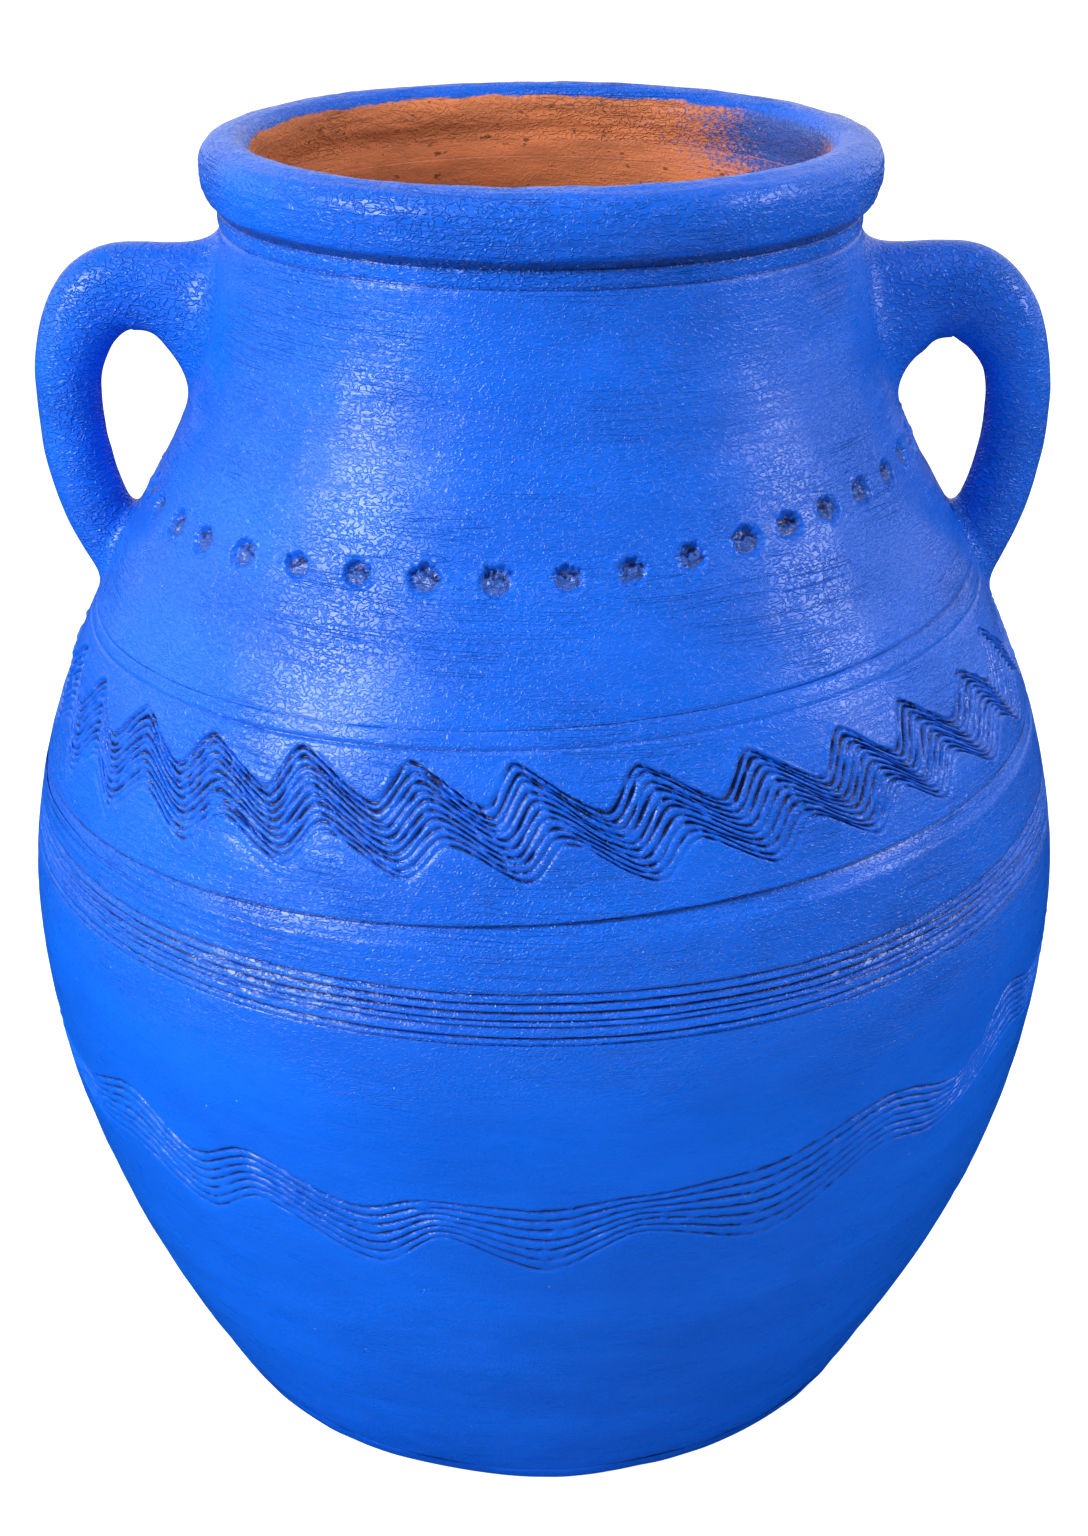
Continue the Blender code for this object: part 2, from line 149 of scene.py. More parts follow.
# Every lamp: name, degrees from the front, degrees up, width, height, watts
LAMPS = (
    ("left_softbox", -56, 25, 0.85, 0.85, 36),
    ("right_softbox", 78, 25, 0.6, 0.8, 14),
    ("top_softbox", 0, 64, 1.0, 0.8, 7),
    ("side_softbox", -96, 15, 0.8, 1.2, 3),
)
LAMP_DISTANCE = 2.0
LAMP_TARGET = (0, 0, 0.40)


# ---- Shapes that follow a rule ----


def eased(share):
    """Smooth rise from 0 to 1: three shares squared less two shares cubed."""
    share = np.clip(share, 0, 1)
    return share * share * (3 - 2 * share)


def window(value, low, high, soft):
    """1 between low and high, falling smoothly to 0 within soft of either end."""
    return eased((value - low) / soft + 1) * eased((high - value) / soft + 1)


def hermite(share, start, end, start_run, end_run):
    """Cubic from start to end, with the runs as its tangents at the two ends."""
    square, cube = share * share, share ** 3
    return (
        start * (2 * cube - 3 * square + 1)
        + start_run * (cube - 2 * square + share)
        + end * (3 * square - 2 * cube)
        + end_run * (cube - square)
    )


def column(values):
    """Values as a column, so that they vary from ring to ring."""
    return np.asarray(values, float)[:, None]


def unit(vectors):
    """The same directions, each of length 1."""
    return vectors / np.linalg.norm(vectors, axis=-1)[..., None]


def bell(value, width):
    """Bell curve of height 1: e to the minus square of the value over its width."""
    return np.exp(-((value / width) ** 2))


def ripple(turn, height, field):
    """Smooth random field: a random lattice, closed round the jar, eased between its points.

    Its strength is the spread of the values. The lattice has so many cells round a full turn
    and so many to a metre of height.
    """
    strength, cells_round, cells_per_metre, seed = field
    lattice = np.random.default_rng(seed).standard_normal((LATTICE_ROWS, cells_round))
    across = np.mod(turn / FULL_TURN, 1) * cells_round
    up = height * cells_per_metre + LATTICE_FLOOR
    cell, row = np.floor(across).astype(int), np.floor(up).astype(int)
    a, b = eased(across - cell), eased(up - row)
    left, right = cell % cells_round, (cell + 1) % cells_round
    low, high = row % LATTICE_ROWS, (row + 1) % LATTICE_ROWS
    below = lattice[low, left] * (1 - a) + lattice[low, right] * a
    above = lattice[high, left] * (1 - a) + lattice[high, right] * a
    return strength * (below * (1 - b) + above * b)


class RoundCurve:
    """A curve that closes round the jar, kept as samples a tenth of a degree apart."""

    samples = 3600
    per_degree = 10

    def __init__(self, values, soften=0.0):
        """The values are softened with a bell of so many degrees."""
        if soften:
            reach = 40
            weight = bell(np.arange(-reach, reach + 1), soften * self.per_degree)
            padded = np.concatenate((values[-reach:], values, values[:reach]))
            values = np.convolve(padded, weight / weight.sum(), mode="valid")
        self.values = np.append(values, values[0])

    def __call__(self, turn):
        share = np.mod(turn / FULL_TURN, 1) * self.samples
        return np.interp(share, np.arange(self.samples + 1), self.values)

    def slope(self, turn):
        """Rise of the curve per radian."""
        step = FULL_TURN / self.samples
        return (self(turn + step) - self(turn - step)) / (2 * step)

    @classmethod
    def turns(cls):
        """The turn of each sample."""
        return np.arange(cls.samples) * FULL_TURN / cls.samples

    @classmethod
    def through(cls, marks, fall_straight=0.0, soften=0.0):
        """Curve through (degrees, height) marks, eased between them and flat at each.

        Falls are straightened by the share fall_straight.
        """
        marks = np.array(marks)
        angles, heights = np.mod(marks[:, 0], 360), marks[:, 1]
        order = np.argsort(angles)
        angles, heights = angles[order], heights[order]
        angles = np.concatenate((angles[-1:] - 360, angles, angles[:1] + 360))
        heights = np.concatenate((heights[-1:], heights, heights[:1]))
        at = np.arange(cls.samples) / cls.per_degree
        mark = np.searchsorted(angles, at, side="right") - 1
        share = (at - angles[mark]) / (angles[mark + 1] - angles[mark])
        start, end = heights[mark], heights[mark + 1]
        straight = np.where(end < start, fall_straight, 0)
        values = start + (end - start) * (straight * share + (1 - straight) * eased(share))
        return cls(values, soften)


def round_the_back(front, step, tall, seed):
    """The front's marks and those that carry them on round the back to the start.

    Crests and dips go on in turn, about step degrees apart and tall from one to the next, about
    a line that runs from the middle of the front's last two marks to that of its first two.
    """
    uneven_step, uneven_tall = 0.22, 0.15
    rng = np.random.default_rng(seed)
    start, end = front[-1][0], front[0][0] + 360
    ends_low = front[-1][1] < front[-2][1]
    starts_low = front[0][1] < front[1][1]
    count = 2 * round((end - start) / step / 2) + (1 if ends_low == starts_low else 0)
    gaps = 1 + rng.uniform(-uneven_step, uneven_step, count + 1)
    angles = start + (end - start) * (np.cumsum(gaps) / gaps.sum())[:-1]
    share = eased((angles - start) / (end - start))
    start_line, end_line = (front[-1][1] + front[-2][1]) / 2, (front[0][1] + front[1][1]) / 2
    line = start_line * (1 - share) + end_line * share
    swing = tall / 2 * np.where(np.arange(count) % 2 == 0, 1, -1) * (1 if ends_low else -1)
    heights = line + swing * rng.uniform(1 - uneven_tall, 1 + uneven_tall, count)
    return tuple(front) + tuple(zip(angles, heights))


def sway(height):
    """How far the turned wall wanders off the axis towards +X: left at the foot and the rim.

    One shift fades out from the floor up, and the other grows from the shoulder up.
    """
    foot_shift, foot_reach = 0.0020, 0.20
    rim_shift, rim_start, rim_reach = 0.0013, 0.47, 0.15
    at_rim = eased((height - rim_start) / rim_reach)
    return -foot_shift * eased(1 - height / foot_reach) - rim_shift * at_rim


def swayed(points):
    """The same points, each moved along X by the sway at its height."""
    moved = points.copy()
    moved[..., 0] += sway(points[..., 2])
    return moved


class JarSkin:
    """The jar's outer skin: three cubics from foot to belly, to shoulder, to neck."""

    slope_reach = 0.001

    def __init__(self, body):
        self.wall = body.wall
        self.belly = body.belly_height
        self.stations = (
            (0, body.foot_radius, body.foot_slope),
            (body.belly_height, body.belly_radius, 0),
            (body.shoulder_height, body.shoulder_radius, body.shoulder_slope),
            (body.neck_height, body.neck_radius, body.neck_slope),
        )

    def radius(self, height):
        """Radius of the skin at each height: the cubic of the span that holds it."""
        height = np.asarray(height, float)
        result = np.where(height <= 0, self.stations[0][1], self.stations[-1][1])
        for (low, r_low, s_low), (high, r_high, s_high) in zip(self.stations, self.stations[1:]):
            run = high - low
            share = np.clip((height - low) / run, 0, 1)
            span = hermite(share, r_low, r_high, s_low * run, s_high * run)
            result = np.where((height > low) & (height <= high), span, result)
        return result

    def slope(self, height):
        """Change of the radius per metre of height, from two radii close by."""
        reach = self.slope_reach
        return (self.radius(height + reach) - self.radius(height - reach)) / (2 * reach)

    def bare(self, turn, height, rise=0.0):
        """Points raised square to the skin, before the sway: the normal comes from the slope."""
        slope = self.slope(height)
        out = 1 / np.sqrt(1 + slope * slope)
        radius = self.radius(height) + rise * out
        up = height - rise * slope * out
        return np.stack(
            np.broadcast_arrays(radius * np.sin(turn), -radius * np.cos(turn), up), axis=-1)

    def place(self, turn, height, rise=0.0):
        """Points at turns and heights, raised square to the skin and swayed with the wall."""
        return swayed(self.bare(turn, height, rise))

    def thrown(self, turn, height, strength=1.0):
        """Rise left by the potter's hands: soft lumps, and rings where the fingers travelled up.

        Each is a coarse ripple and a fine one, and the rings climb a little to the right. Round
        the belly a bell draws the skin in, so that its lumps stay inside the widest ring.
        """
        climb, climb_radius = 0.045, 0.22
        drawn_in, belly_width, calmer = 0.0006, 0.08, 0.4
        level_line = height - climb * climb_radius * np.sin(turn)
        lumps = ripple(turn, height, SOFT_LUMPS) + ripple(turn, height, SMALL_LUMPS)
        rings = ripple(turn, level_line, FINGER_RINGS) + ripple(turn, level_line, FINE_RINGS)
        belly = bell(height - self.belly, belly_width)
        return strength * (lumps * (1 - calmer * belly) + rings) - drawn_in * belly

    def lining(self, turn, height):
        """Depth of the wall's inner side: the wall's thickness and the marks of the fingers."""
        thickest = 0.001
        fingers = ripple(turn, height, INNER_FINGERS) + ripple(turn, height, INNER_LUMPS)
        return self.wall + np.maximum(fingers, -thickest)

    def top_joint(self, turn, height, lap):
        """Upper end of a piece, from outside in: its ledge and the tongue that stands up."""
        up = column((0, 0, lap - INNER_GAP, lap - INNER_GAP))
        deep = column((SEAM_DEPTH, TONGUE + JOINT_GAP, TONGUE + JOINT_GAP, 0)) + 0 * turn
        deep[3] = self.lining(turn, height + up[3])
        return self.place(turn, height + up, -deep)

    def foot_joint(self, turn, height, lap):
        """Lower end of a piece, from inside out: its seat on the tongue and its skirt."""
        up = column((lap, lap, JOINT_GAP, JOINT_GAP))
        deep = column((0, TONGUE, TONGUE, SEAM_DEPTH)) + 0 * turn
        deep[0] = self.lining(turn, height + up[0])
        return self.place(turn, height + up, -deep)

    def inside(self, turn, high, low, rings, low_turn=None):
        """Rings down the wall's inner side, whose columns may slant to other turns at the foot.

        The first and the last stop just short of the joints that they meet.
        """
        short = 0.005
        share = np.concatenate(([short], np.arange(1, rings) / rings, [1 - short]))
        height = high + (low - high) * column(share)
        if low_turn is not None:
            turn = turn + (low_turn - turn) * column(share)
        return self.place(turn, height, -self.lining(turn, height))

    def ring(self, turn, height, lean):
        """Height of a ring mark that leans: it climbs by lean for each metre towards +X."""
        return height + lean * self.radius(height) * np.sin(turn)


# ---- Meshes of rings ----


class RingStack:
    """Rings of points round the jar, one above another, that become one closed mesh.

    Each block is an array of rings of equal count. Where the count changes from a block to the
    next, faces with one long side and several short ones join the two.
    """

    def __init__(self):
        self.points, self.crevice, self.paint, self.spray = [], [], [], []
        self.faces, self.face_material = [], []
        self.count = 0
        self.first = self.last = None

    # Each ring carries painted shade, from 0 to 1: how far the paint's blue is darkened as shade.
    def add(self, points, crevice=0.0, paint=1.0, material=0, joins=None, spray=0.0):
        """Add a block of rings, an array of (rings, points in a ring, 3), and join it below.

        The faces of the joining strip take the material joins where it is given.
        """
        rings, around = points.shape[:2]
        index = self.count + np.arange(rings * around).reshape(rings, around)
        self.count += rings * around
        self.points.append(points.reshape(-1, 3))
        for kept, values in ((self.crevice, crevice), (self.paint, paint), (self.spray, spray)):
            kept.append(np.broadcast_to(values, (rings, around)).ravel())
        if self.last is None:
            self.first = index[0]
        else:
            self.join(self.last, index[0], material if joins is None else joins)
        after = np.roll(index, -1, axis=1)
        quads = np.stack((index[:-1], after[:-1], after[1:], index[1:]), axis=-1).reshape(-1, 4)
        self.faces += quads.tolist()
        self.face_material += [material] * len(quads)
        self.last = index[-1]

    def joint(self, points, outside_first):
        """Add a joint's four rings: dark, and painted on the side towards the open air."""
        paint = column((1, 1, 0, 0) if outside_first else (0, 0, 1, 1))
        self.add(points, JOINT_SHADE, paint, joins=None if outside_first else 1)

    def join(self, low, high, material):
        """Faces between two rings, whose counts are equal or a multiple of each other."""
        low_after, high_after = np.roll(low, -1), np.roll(high, -1)
        if len(low) == len(high):
            strip = np.stack((low, low_after, high_after, high), axis=-1)
        elif len(high) > len(low):
            ratio = len(high) // len(low)
            fine = [high_after[ratio - 1 - k::ratio] for k in range(ratio)]
            strip = np.stack((low, low_after, *fine, high[::ratio]), axis=-1)
        else:
            ratio = len(low) // len(high)
            fine = [low_after[k::ratio] for k in range(ratio)]
            strip = np.stack((low[::ratio], *fine, high_after, high), axis=-1)
        self.faces += strip.tolist()
        self.face_material += [material] * len(strip)

    def close(self):
        """Join the last ring to the first, so that the wall closes on itself."""
        self.join(self.last, self.first, 0)

    def cap(self, ring, material=0, downwards=True):
        """Close a ring with one flat face."""
        face = ring[::-1] if downwards else ring
        self.faces.append(face.tolist())
        self.face_material.append(material)

    def build(self, name, materials):
        """Make the piece: a smooth mesh with its attributes and materials, riding on the root."""
        mesh = bpy.data.meshes.new(name)
        mesh.from_pydata(np.concatenate(self.points), [], self.faces)
        for material in materials:
            mesh.materials.append(material)
        mesh.polygons.foreach_set("material_index", np.array(self.face_material, dtype=np.int32))
        for key in ("crevice", "paint", "spray"):
            layer = mesh.attributes.new(key, "FLOAT", "POINT")
            layer.data.foreach_set("value", np.concatenate(getattr(self, key)).astype(np.float32))
        mesh.shade_smooth()
        mesh.update()
        if mesh.validate():
            raise RuntimeError(name + " had faces that do not join up")
        piece = bpy.data.objects.new(name, mesh)
        bpy.context.scene.collection.objects.link(piece)
        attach(piece, "root")
        return piece


def spread(weight, count):
    """Turns round the jar, closer together in proportion to the weight's samples."""
    total = np.concatenate(([0], np.cumsum(weight)))
    marks = np.linspace(0, total[-1], count, endpoint=False)
    return np.interp(marks, total, np.linspace(0, FULL_TURN, len(total)))


# ---- Marks pressed and scratched into the clay ----


def comb_marks(stroke, line, lines, falling, depth, seed, narrow):
    """Furrows of a comb, one bell-shaped groove at each whole line, and the painted shade in each.

    Falling is 1 where the comb was dragged down and cut deep. Clods break the furrows, the last
    few fade where the comb rises, and between the outer teeth the clay is pressed in and ridged.
    """
    even, dragged, broken, shallowest, deepest = 0.86, 0.26, 0.34, 0.10, 1.5
    first_teeth, last_teeth, faded, narrower = 1.18, 4, 0.75, 0.03
    long_step, pressed_in, ridges = 0.13, 0.00025, 0.00022
    nearest = np.clip(np.rint(line), 0, lines - 1)
    clods = (ripple(stroke, nearest * TOOTH_STEP, (1.0, 700, 9, seed))
             + ripple(stroke, nearest * long_step, (0.6, 260, 9, seed + 1)))
    bite = np.clip(even + dragged * falling + broken * clods, shallowest, deepest)
    bite = bite * np.where(nearest <= 1, first_teeth, 1.0)
    fade = 1 - faded * eased((nearest - (lines - last_teeth)) / last_teeth) * (1 - falling)
    groove = bell(line - nearest, narrow - narrower * falling) * bite * fade
    inside = window(line, 0.1, lines - 1.4, 0.6)
    ridge = inside * ripple(stroke, line * LINE_STEP, (ridges, 420, 22, seed + 2))
    return -depth * groove - pressed_in * inside + ridge, groove


def turn_from(turns, degrees):
    """Turns measured from a direction, between minus and plus half a turn."""
    return np.mod(turns - math.radians(degrees) + math.pi, FULL_TURN) - math.pi


def facing(turns, degrees, width):
    """Bell curve round the jar: 1 in a direction, with a width in degrees."""
    return bell(turn_from(turns, degrees), math.radians(width))


def band_foot(marks, turns):
    """Height of the grooved band's foot, which climbs and swells out towards the right."""
    climb, swelling, swell_at, swell_width = 0.002, 0.008, 95, 75
    swell = eased(1 - np.abs(turn_from(turns, swell_at)) / math.radians(swell_width))
    return marks.band_height + climb * np.sin(turns) + swelling * swell


def groove_band(skin, marks, turns):
    """Rings of the grooved band up to the corner under the step: a sawtooth of scraped grooves.

    Between grooves the clay leans back as it rises, then comes out again in a short undercut.
    Over the scraped grooves lie three soft ones on the left, a plain strip, and the slope that
    leads in to the step. Each ring is an offset over the band's foot and the depth of its cut.
    """
    scraped = ((0.0034, 0.0016), (0.0082, 0.0012), (0.0108, 0.0015), (0.0145, 0.0017),
               (0.0183, 0.0015), (0.0222, 0.0013))
    soft, soft_bite = (0.0270, 0.0308, 0.0345), 0.00045
    undercut, soft_undercut, lip = 0.0006, 0.0009, 0.0001
    darkest_cut, slope_height = 0.0013, 0.0085
    left = eased((-turn_from(turns, 0) + math.radians(5)) / math.radians(50))
    start = 0.0009
    offsets, cuts = [0.0004, start], [0.0006 + 0 * turns, lip + 0 * turns]
    for centre, bite in scraped:
        for share in (0.15, 0.35, 0.6, 0.8, 0.93, 1.0):
            offsets.append(start + (centre - start) * share)
            cuts.append(bite * share ** 1.6 + 0 * turns)
        start = centre + undercut
        offsets.append(start)
        cuts.append(lip + 0 * turns)
    for centre in soft:
        for share in (0.3, 0.7, 1.0):
            offsets.append(start + (centre - start) * share)
            cuts.append(soft_bite * share ** 1.5 * left)
        start = centre + soft_undercut
        offsets.append(start)
        cuts.append(0 * turns)
    offsets, cuts = column(offsets), np.array(cuts)
    wobble = eased(offsets / 0.002) * ripple(turns, offsets, BAND_WOBBLE)
    ragged = 1 + ripple(turns, offsets * 3, BAND_BREAKS)
    low = band_foot(marks, turns) + offsets + wobble
    step = skin.ring(turns, marks.step_height, marks.step_lean)
    slope_height = slope_height - 0.0010 * np.sin(turns)
    plain = low[-1] + (step - slope_height - low[-1]) * column((0.3, 0.6, 0.8, 1.0))
    slope = step - slope_height * (1 - column((0.12, 0.3, 0.55, 0.8, 0.93, 1.0))) - 0.0007
    sunk = column((0.18, 0.3, 0.5, 0.75, 0.92, 1.0)) ** 1.2
    height = np.concatenate((low, plain, slope))
    rise = np.concatenate((-cuts * ragged, 0 * plain, -marks.step_depth * sunk + 0 * slope))
    shade = np.concatenate((np.minimum((cuts / darkest_cut) ** 1.7 * 0.95, 1),
                            0 * plain, sunk ** 6 * 0.7 + 0 * slope))
    return height, rise, shade


def right_hand(turns):
    """Strength of the upper ring groove: faint on the left, bold from the front to the right."""
    faint, bolder = 0.25, 0.60
    ahead = turn_from(turns, 0)
    return faint + bolder * eased((ahead + 0.3) / 0.9) * eased(2.6 - ahead)


def ring_grooves(turns, top_height, groove, seam):
    """Rings from the comb's crests over the lower ring groove to the upper one, at the seam.

    The lower groove is deepest on the left of the front, and the upper one on the right.
    """
    half, depth, dark = 0.0018, 0.0010, 0.7
    between = column((0.25, 0.5, 0.75))
    below = top_height + (groove - half - top_height) * between
    across = groove + column((-half, -0.0011, -0.0006, 0, 0.0006, 0.0012, half))
    above = groove + half + (seam - groove - half - 0.0016) * between
    at_seam = seam + column((-0.0016, -0.0009, -0.0004, -0.0001))
    cut = column((0, 0.15, 0.6, 1, 0.7, 0.15, 0)) * (0.55 + 0.45 * facing(turns, -22, 28))
    seam_cut = column((0, 0.2, 0.7, 1)) * right_hand(turns)
    heights = np.concatenate((below, across, above, at_seam))
    cuts = np.concatenate((0 * below, cut, 0 * above, seam_cut))
    return heights, -depth * cuts, dark * cuts


def pit_ring(skin, marks, turn):
    """Height of the ring of pits: it leans, and sags a little in front."""
    return skin.ring(turn, marks.pit_height, marks.pit_lean) - 0.0038 * facing(turn, 6, 23)


def punched(skin, marks, turn, height):
    """Rise, painted shade and thin paint of the punched pits: steep bowls, each with a torn flap.

    Across and up are measured from a pit's middle, both as shares of its half size. Also gives
    the turns of the pits.
    """
    on_back, uneven = 24, 0.6
    bowl_edge, bowl_soft, lip_up, flap_width = 1.06, 0.30, 0.10, 0.30
    crack_up, crack_width, burr_at, burr_width, burr_tall = 0.30, 0.12, 1.22, 0.12, 0.00045
    first, last = PIT_TURNS_FRONT[0], PIT_TURNS_FRONT[-1]
    back = last + (360 + first - last) * np.arange(1, on_back + 1) / (on_back + 1)
    rng = np.random.default_rng(PIT_SEED)
    centres = np.concatenate((PIT_TURNS_FRONT, back + rng.uniform(-uneven, uneven, on_back)))
    centres = np.radians(centres)
    size = rng.uniform(0.88, 1.10, len(centres))
    torn = rng.uniform(0.35, 1.0, len(centres))
    tilt = rng.uniform(-0.35, 0.35, len(centres))
    away = np.mod(turn[..., None] - centres + math.pi, FULL_TURN) - math.pi
    nearest = np.abs(away).argmin(axis=-1)
    away = np.take_along_axis(away, nearest[..., None], -1)[..., 0] * skin.radius(height)
    across = away / (marks.pit_width / 2 * size[nearest])
    up = (height - pit_ring(skin, marks, centres)[nearest]) / (marks.pit_tall / 2 * size[nearest])
    reach = np.sqrt(across * across + up * up) + ripple(turn, height, PIT_EDGE)
    bowl = eased((bowl_edge - reach) / bowl_soft)
    deeper = 0.72 + 0.36 * up
    lip = up - lip_up - tilt[nearest] * across - ripple(turn, height, PIT_LIP)
    flap = bell(lip, flap_width) * bowl * torn[nearest]
    crack = bell(lip - crack_up, crack_width) * eased((1.0 - reach) / 0.25)
    crumbs = ripple(turn, height, PIT_CRUMBS)
    burr = np.clip(0.5 + ripple(turn, height, PIT_BURR), 0, 1.4)
    burr = burr_tall * bell(reach - burr_at, burr_width) * burr
    sunk = bowl * deeper - 0.50 * flap + 0.30 * crack - 0.04 * crumbs * bowl
    # Painted shade in each bowl: darker towards its upper edge, black in the crack, lighter on the
    # flap.
    dark = bowl * (0.26 + 0.16 * up + 0.07 * crumbs) + 0.95 * crack - 0.10 * flap
    thin = eased((0.90 - reach) / 0.25) * np.clip(0.9 - crack + 0.15 * crumbs, 0, 1)
    return burr - marks.pit_depth * sunk, np.clip(dark, 0, 1), thin, centres


def overspray(turn, height):
    """Paint that drifted onto the clay inside the mouth, on the right and towards the back."""
    lowest, reach = 0.572, 0.05
    return facing(turn, 112, 34) * eased((height - lowest) / reach)


# ---- Operators' settings ----


class JarBodySettings(bpy.types.PropertyGroup):
    """Sizes of the turned body."""

    foot_radius: FloatProperty(name="Foot radius", description="Radius of the flat foot",
                               default=0.181, unit="LENGTH")
    foot_slope: FloatProperty(name="Foot slope", description="Outward run per rise at the foot",
                              default=0.56)
    belly_height: FloatProperty(name="Belly height", description="Height of the widest ring",
                                default=0.2675, unit="LENGTH")
    belly_radius: FloatProperty(name="Belly radius", description="Radius of the widest ring",
                                default=0.2633, unit="LENGTH")
    shoulder_height: FloatProperty(name="Shoulder height", description="Height of the shoulder",
                                   default=0.470, unit="LENGTH")
    shoulder_radius: FloatProperty(name="Shoulder radius", description="Radius of the shoulder",
                                   default=0.195, unit="LENGTH")
    shoulder_slope: FloatProperty(name="Shoulder slope", description="Outward run per rise there",
                                  default=-0.60)
    neck_height: FloatProperty(name="Neck height", description="Height of the scored line",
                               default=0.6005, unit="LENGTH")
    neck_radius: FloatProperty(name="Neck radius", description="Radius at the scored line",
                               default=0.1503, unit="LENGTH")
    neck_slope: FloatProperty(name="Neck slope", description="Outward run per rise at the neck",
                              default=-0.08)
    wall: FloatProperty(name="Wall", description="Thickness of the clay", default=0.015,
                        unit="LENGTH")
    top_height: FloatProperty(name="Top height", description="Height of the rim's top",
                              default=0.6422, unit="LENGTH")
    rim_seam: FloatProperty(name="Rim's foot", description="Height of the seam under the rim",
                            default=0.6088, unit="LENGTH")
    foot_edge: FloatProperty(name="Foot edge", description="Thickness of the slab's edge",
                             default=0.012, unit="LENGTH")


class JarMarkSettings(bpy.types.PropertyGroup):
    """Sizes and places of the marks on the body."""

    band_height: FloatProperty(name="Band height", description="Foot of the grooved band",
                               default=0.3056, unit="LENGTH")
    step_height: FloatProperty(name="Step height", description="Sharp step over the band",
                               default=0.3575, unit="LENGTH")
    step_lean: FloatProperty(name="Step lean", description="Climb per metre to the right",
                             default=0.055)
    step_depth: FloatProperty(name="Step depth", description="How far the step cuts in",
                              default=0.0018, unit="LENGTH")
    groove_height: FloatProperty(name="Lower groove", description="Height of the lower ring",
                                 default=0.4248, unit="LENGTH")
    groove_lean: FloatProperty(name="Lower groove's lean", description="Climb per metre",
                               default=0.042)
    seam_height: FloatProperty(name="Upper groove", description="Height of the upper ring",
                               default=0.4325, unit="LENGTH")
    seam_lean: FloatProperty(name="Upper groove's lean", description="Climb per metre",
                             default=0.050)
    pit_height: FloatProperty(name="Pits' height", description="Height of the ring of pits",
                              default=0.4903, unit="LENGTH")
    pit_lean: FloatProperty(name="Pits' lean", description="Climb per metre", default=0.072)
    pit_width: FloatProperty(name="Pit width", description="Width of a punched pit",
                             default=0.0144, unit="LENGTH")
    pit_tall: FloatProperty(name="Pit tall", description="Height of a punched pit",
                            default=0.0116, unit="LENGTH")
    pit_depth: FloatProperty(name="Pit depth", description="Depth of a punched pit",
                             default=0.0037, unit="LENGTH")
    zigzag_lines: IntProperty(name="Zigzag lines", description="Teeth of the upper comb",
                              default=10, min=2)
    zigzag_tall: FloatProperty(name="Zigzag tall", description="Width of the upper comb",
                               default=0.0290, unit="LENGTH")
    zigzag_depth: FloatProperty(name="Zigzag depth", description="Bite of the upper comb",
                                default=0.0018, unit="LENGTH")
    swell_lines: IntProperty(name="Wave lines", description="Teeth of the lower comb",
                             default=7, min=2)
    swell_depth: FloatProperty(name="Wave depth", description="Bite of the lower comb",
                               default=0.0015, unit="LENGTH")


class JarHandleSettings(bpy.types.PropertyGroup):
    """Sizes of the handles and of the clay smeared round their roots."""

    root_drop: FloatProperty(name="Root drop", description="Upper root below the neck's line",
                             default=0.0500, unit="LENGTH")
    crest_drop: FloatProperty(name="Crest drop", description="Crest below the neck's line",
                              default=0.0322, unit="LENGTH")
    crest_out: FloatProperty(name="Crest out", description="Crest's distance from the skin",
                             default=0.0410, unit="LENGTH")
    side_drop: FloatProperty(name="Side drop", description="Outermost point below the neck's line",
                             default=0.0880, unit="LENGTH")
    side_out: FloatProperty(name="Side out", description="Its distance from the skin",
                            default=0.0580, unit="LENGTH")
    foot_drop: FloatProperty(name="Foot drop", description="Lower root below the neck's line",
                             default=0.1695, unit="LENGTH")
    foot_angle: FloatProperty(name="Foot angle", description="Angle between the roll and the skin",
                              default=math.radians(55), subtype="ANGLE")
    root_tall: FloatProperty(name="Root tall", description="Half height of the roll at its root",
                             default=0.0292, unit="LENGTH")
    root_wide: FloatProperty(name="Root wide", description="Half width of the roll at its root",
                             default=0.0240, unit="LENGTH")
    crest_tall: FloatProperty(name="Crest tall", description="Half height at the crest",
                              default=0.0215, unit="LENGTH")
    crest_wide: FloatProperty(name="Crest wide", description="Half width at the crest",
                              default=0.0175, unit="LENGTH")
    roll: FloatProperty(name="Roll", description="Radius of the roll of clay", default=0.0159,
                        unit="LENGTH")
    foot_roll: FloatProperty(name="Foot roll", description="Radius at the lower root",
                             default=0.0165, unit="LENGTH")


class JarFinishSettings(bpy.types.PropertyGroup):
    """Colours of the paint and of the clay."""

    paint: FloatVectorProperty(name="Paint", description="Colour of the paint",
                               default=(0.001, 0.124, 0.800), size=3, subtype="COLOR")
    clay: FloatVectorProperty(name="Clay", description="Colour of the bare clay",
                              default=(0.66, 0.205, 0.078), size=3, subtype="COLOR")


class JarStageSettings(bpy.types.PropertyGroup):
    """The camera."""

    distance: FloatProperty(name="Camera distance", description="From the axis to the camera",
                            default=1.0918, unit="LENGTH")
    height: FloatProperty(name="Camera height", description="Height of the camera",
                          default=0.8195, unit="LENGTH")
    pitch: FloatProperty(name="Camera pitch", description="Angle below level",
                         default=0.433, subtype="ANGLE")
    lens: FloatProperty(name="Lens", description="Focal length for a 36 mm long side",
                        default=53.9)


class OliveJarSettings(bpy.types.PropertyGroup):
    """Everything that a user may change."""

    body: PointerProperty(type=JarBodySettings)
    marks: PointerProperty(type=JarMarkSettings)
    handles: PointerProperty(type=JarHandleSettings)
    finish: PointerProperty(type=JarFinishSettings)
    stage: PointerProperty(type=JarStageSettings)


# ---- Materials ----


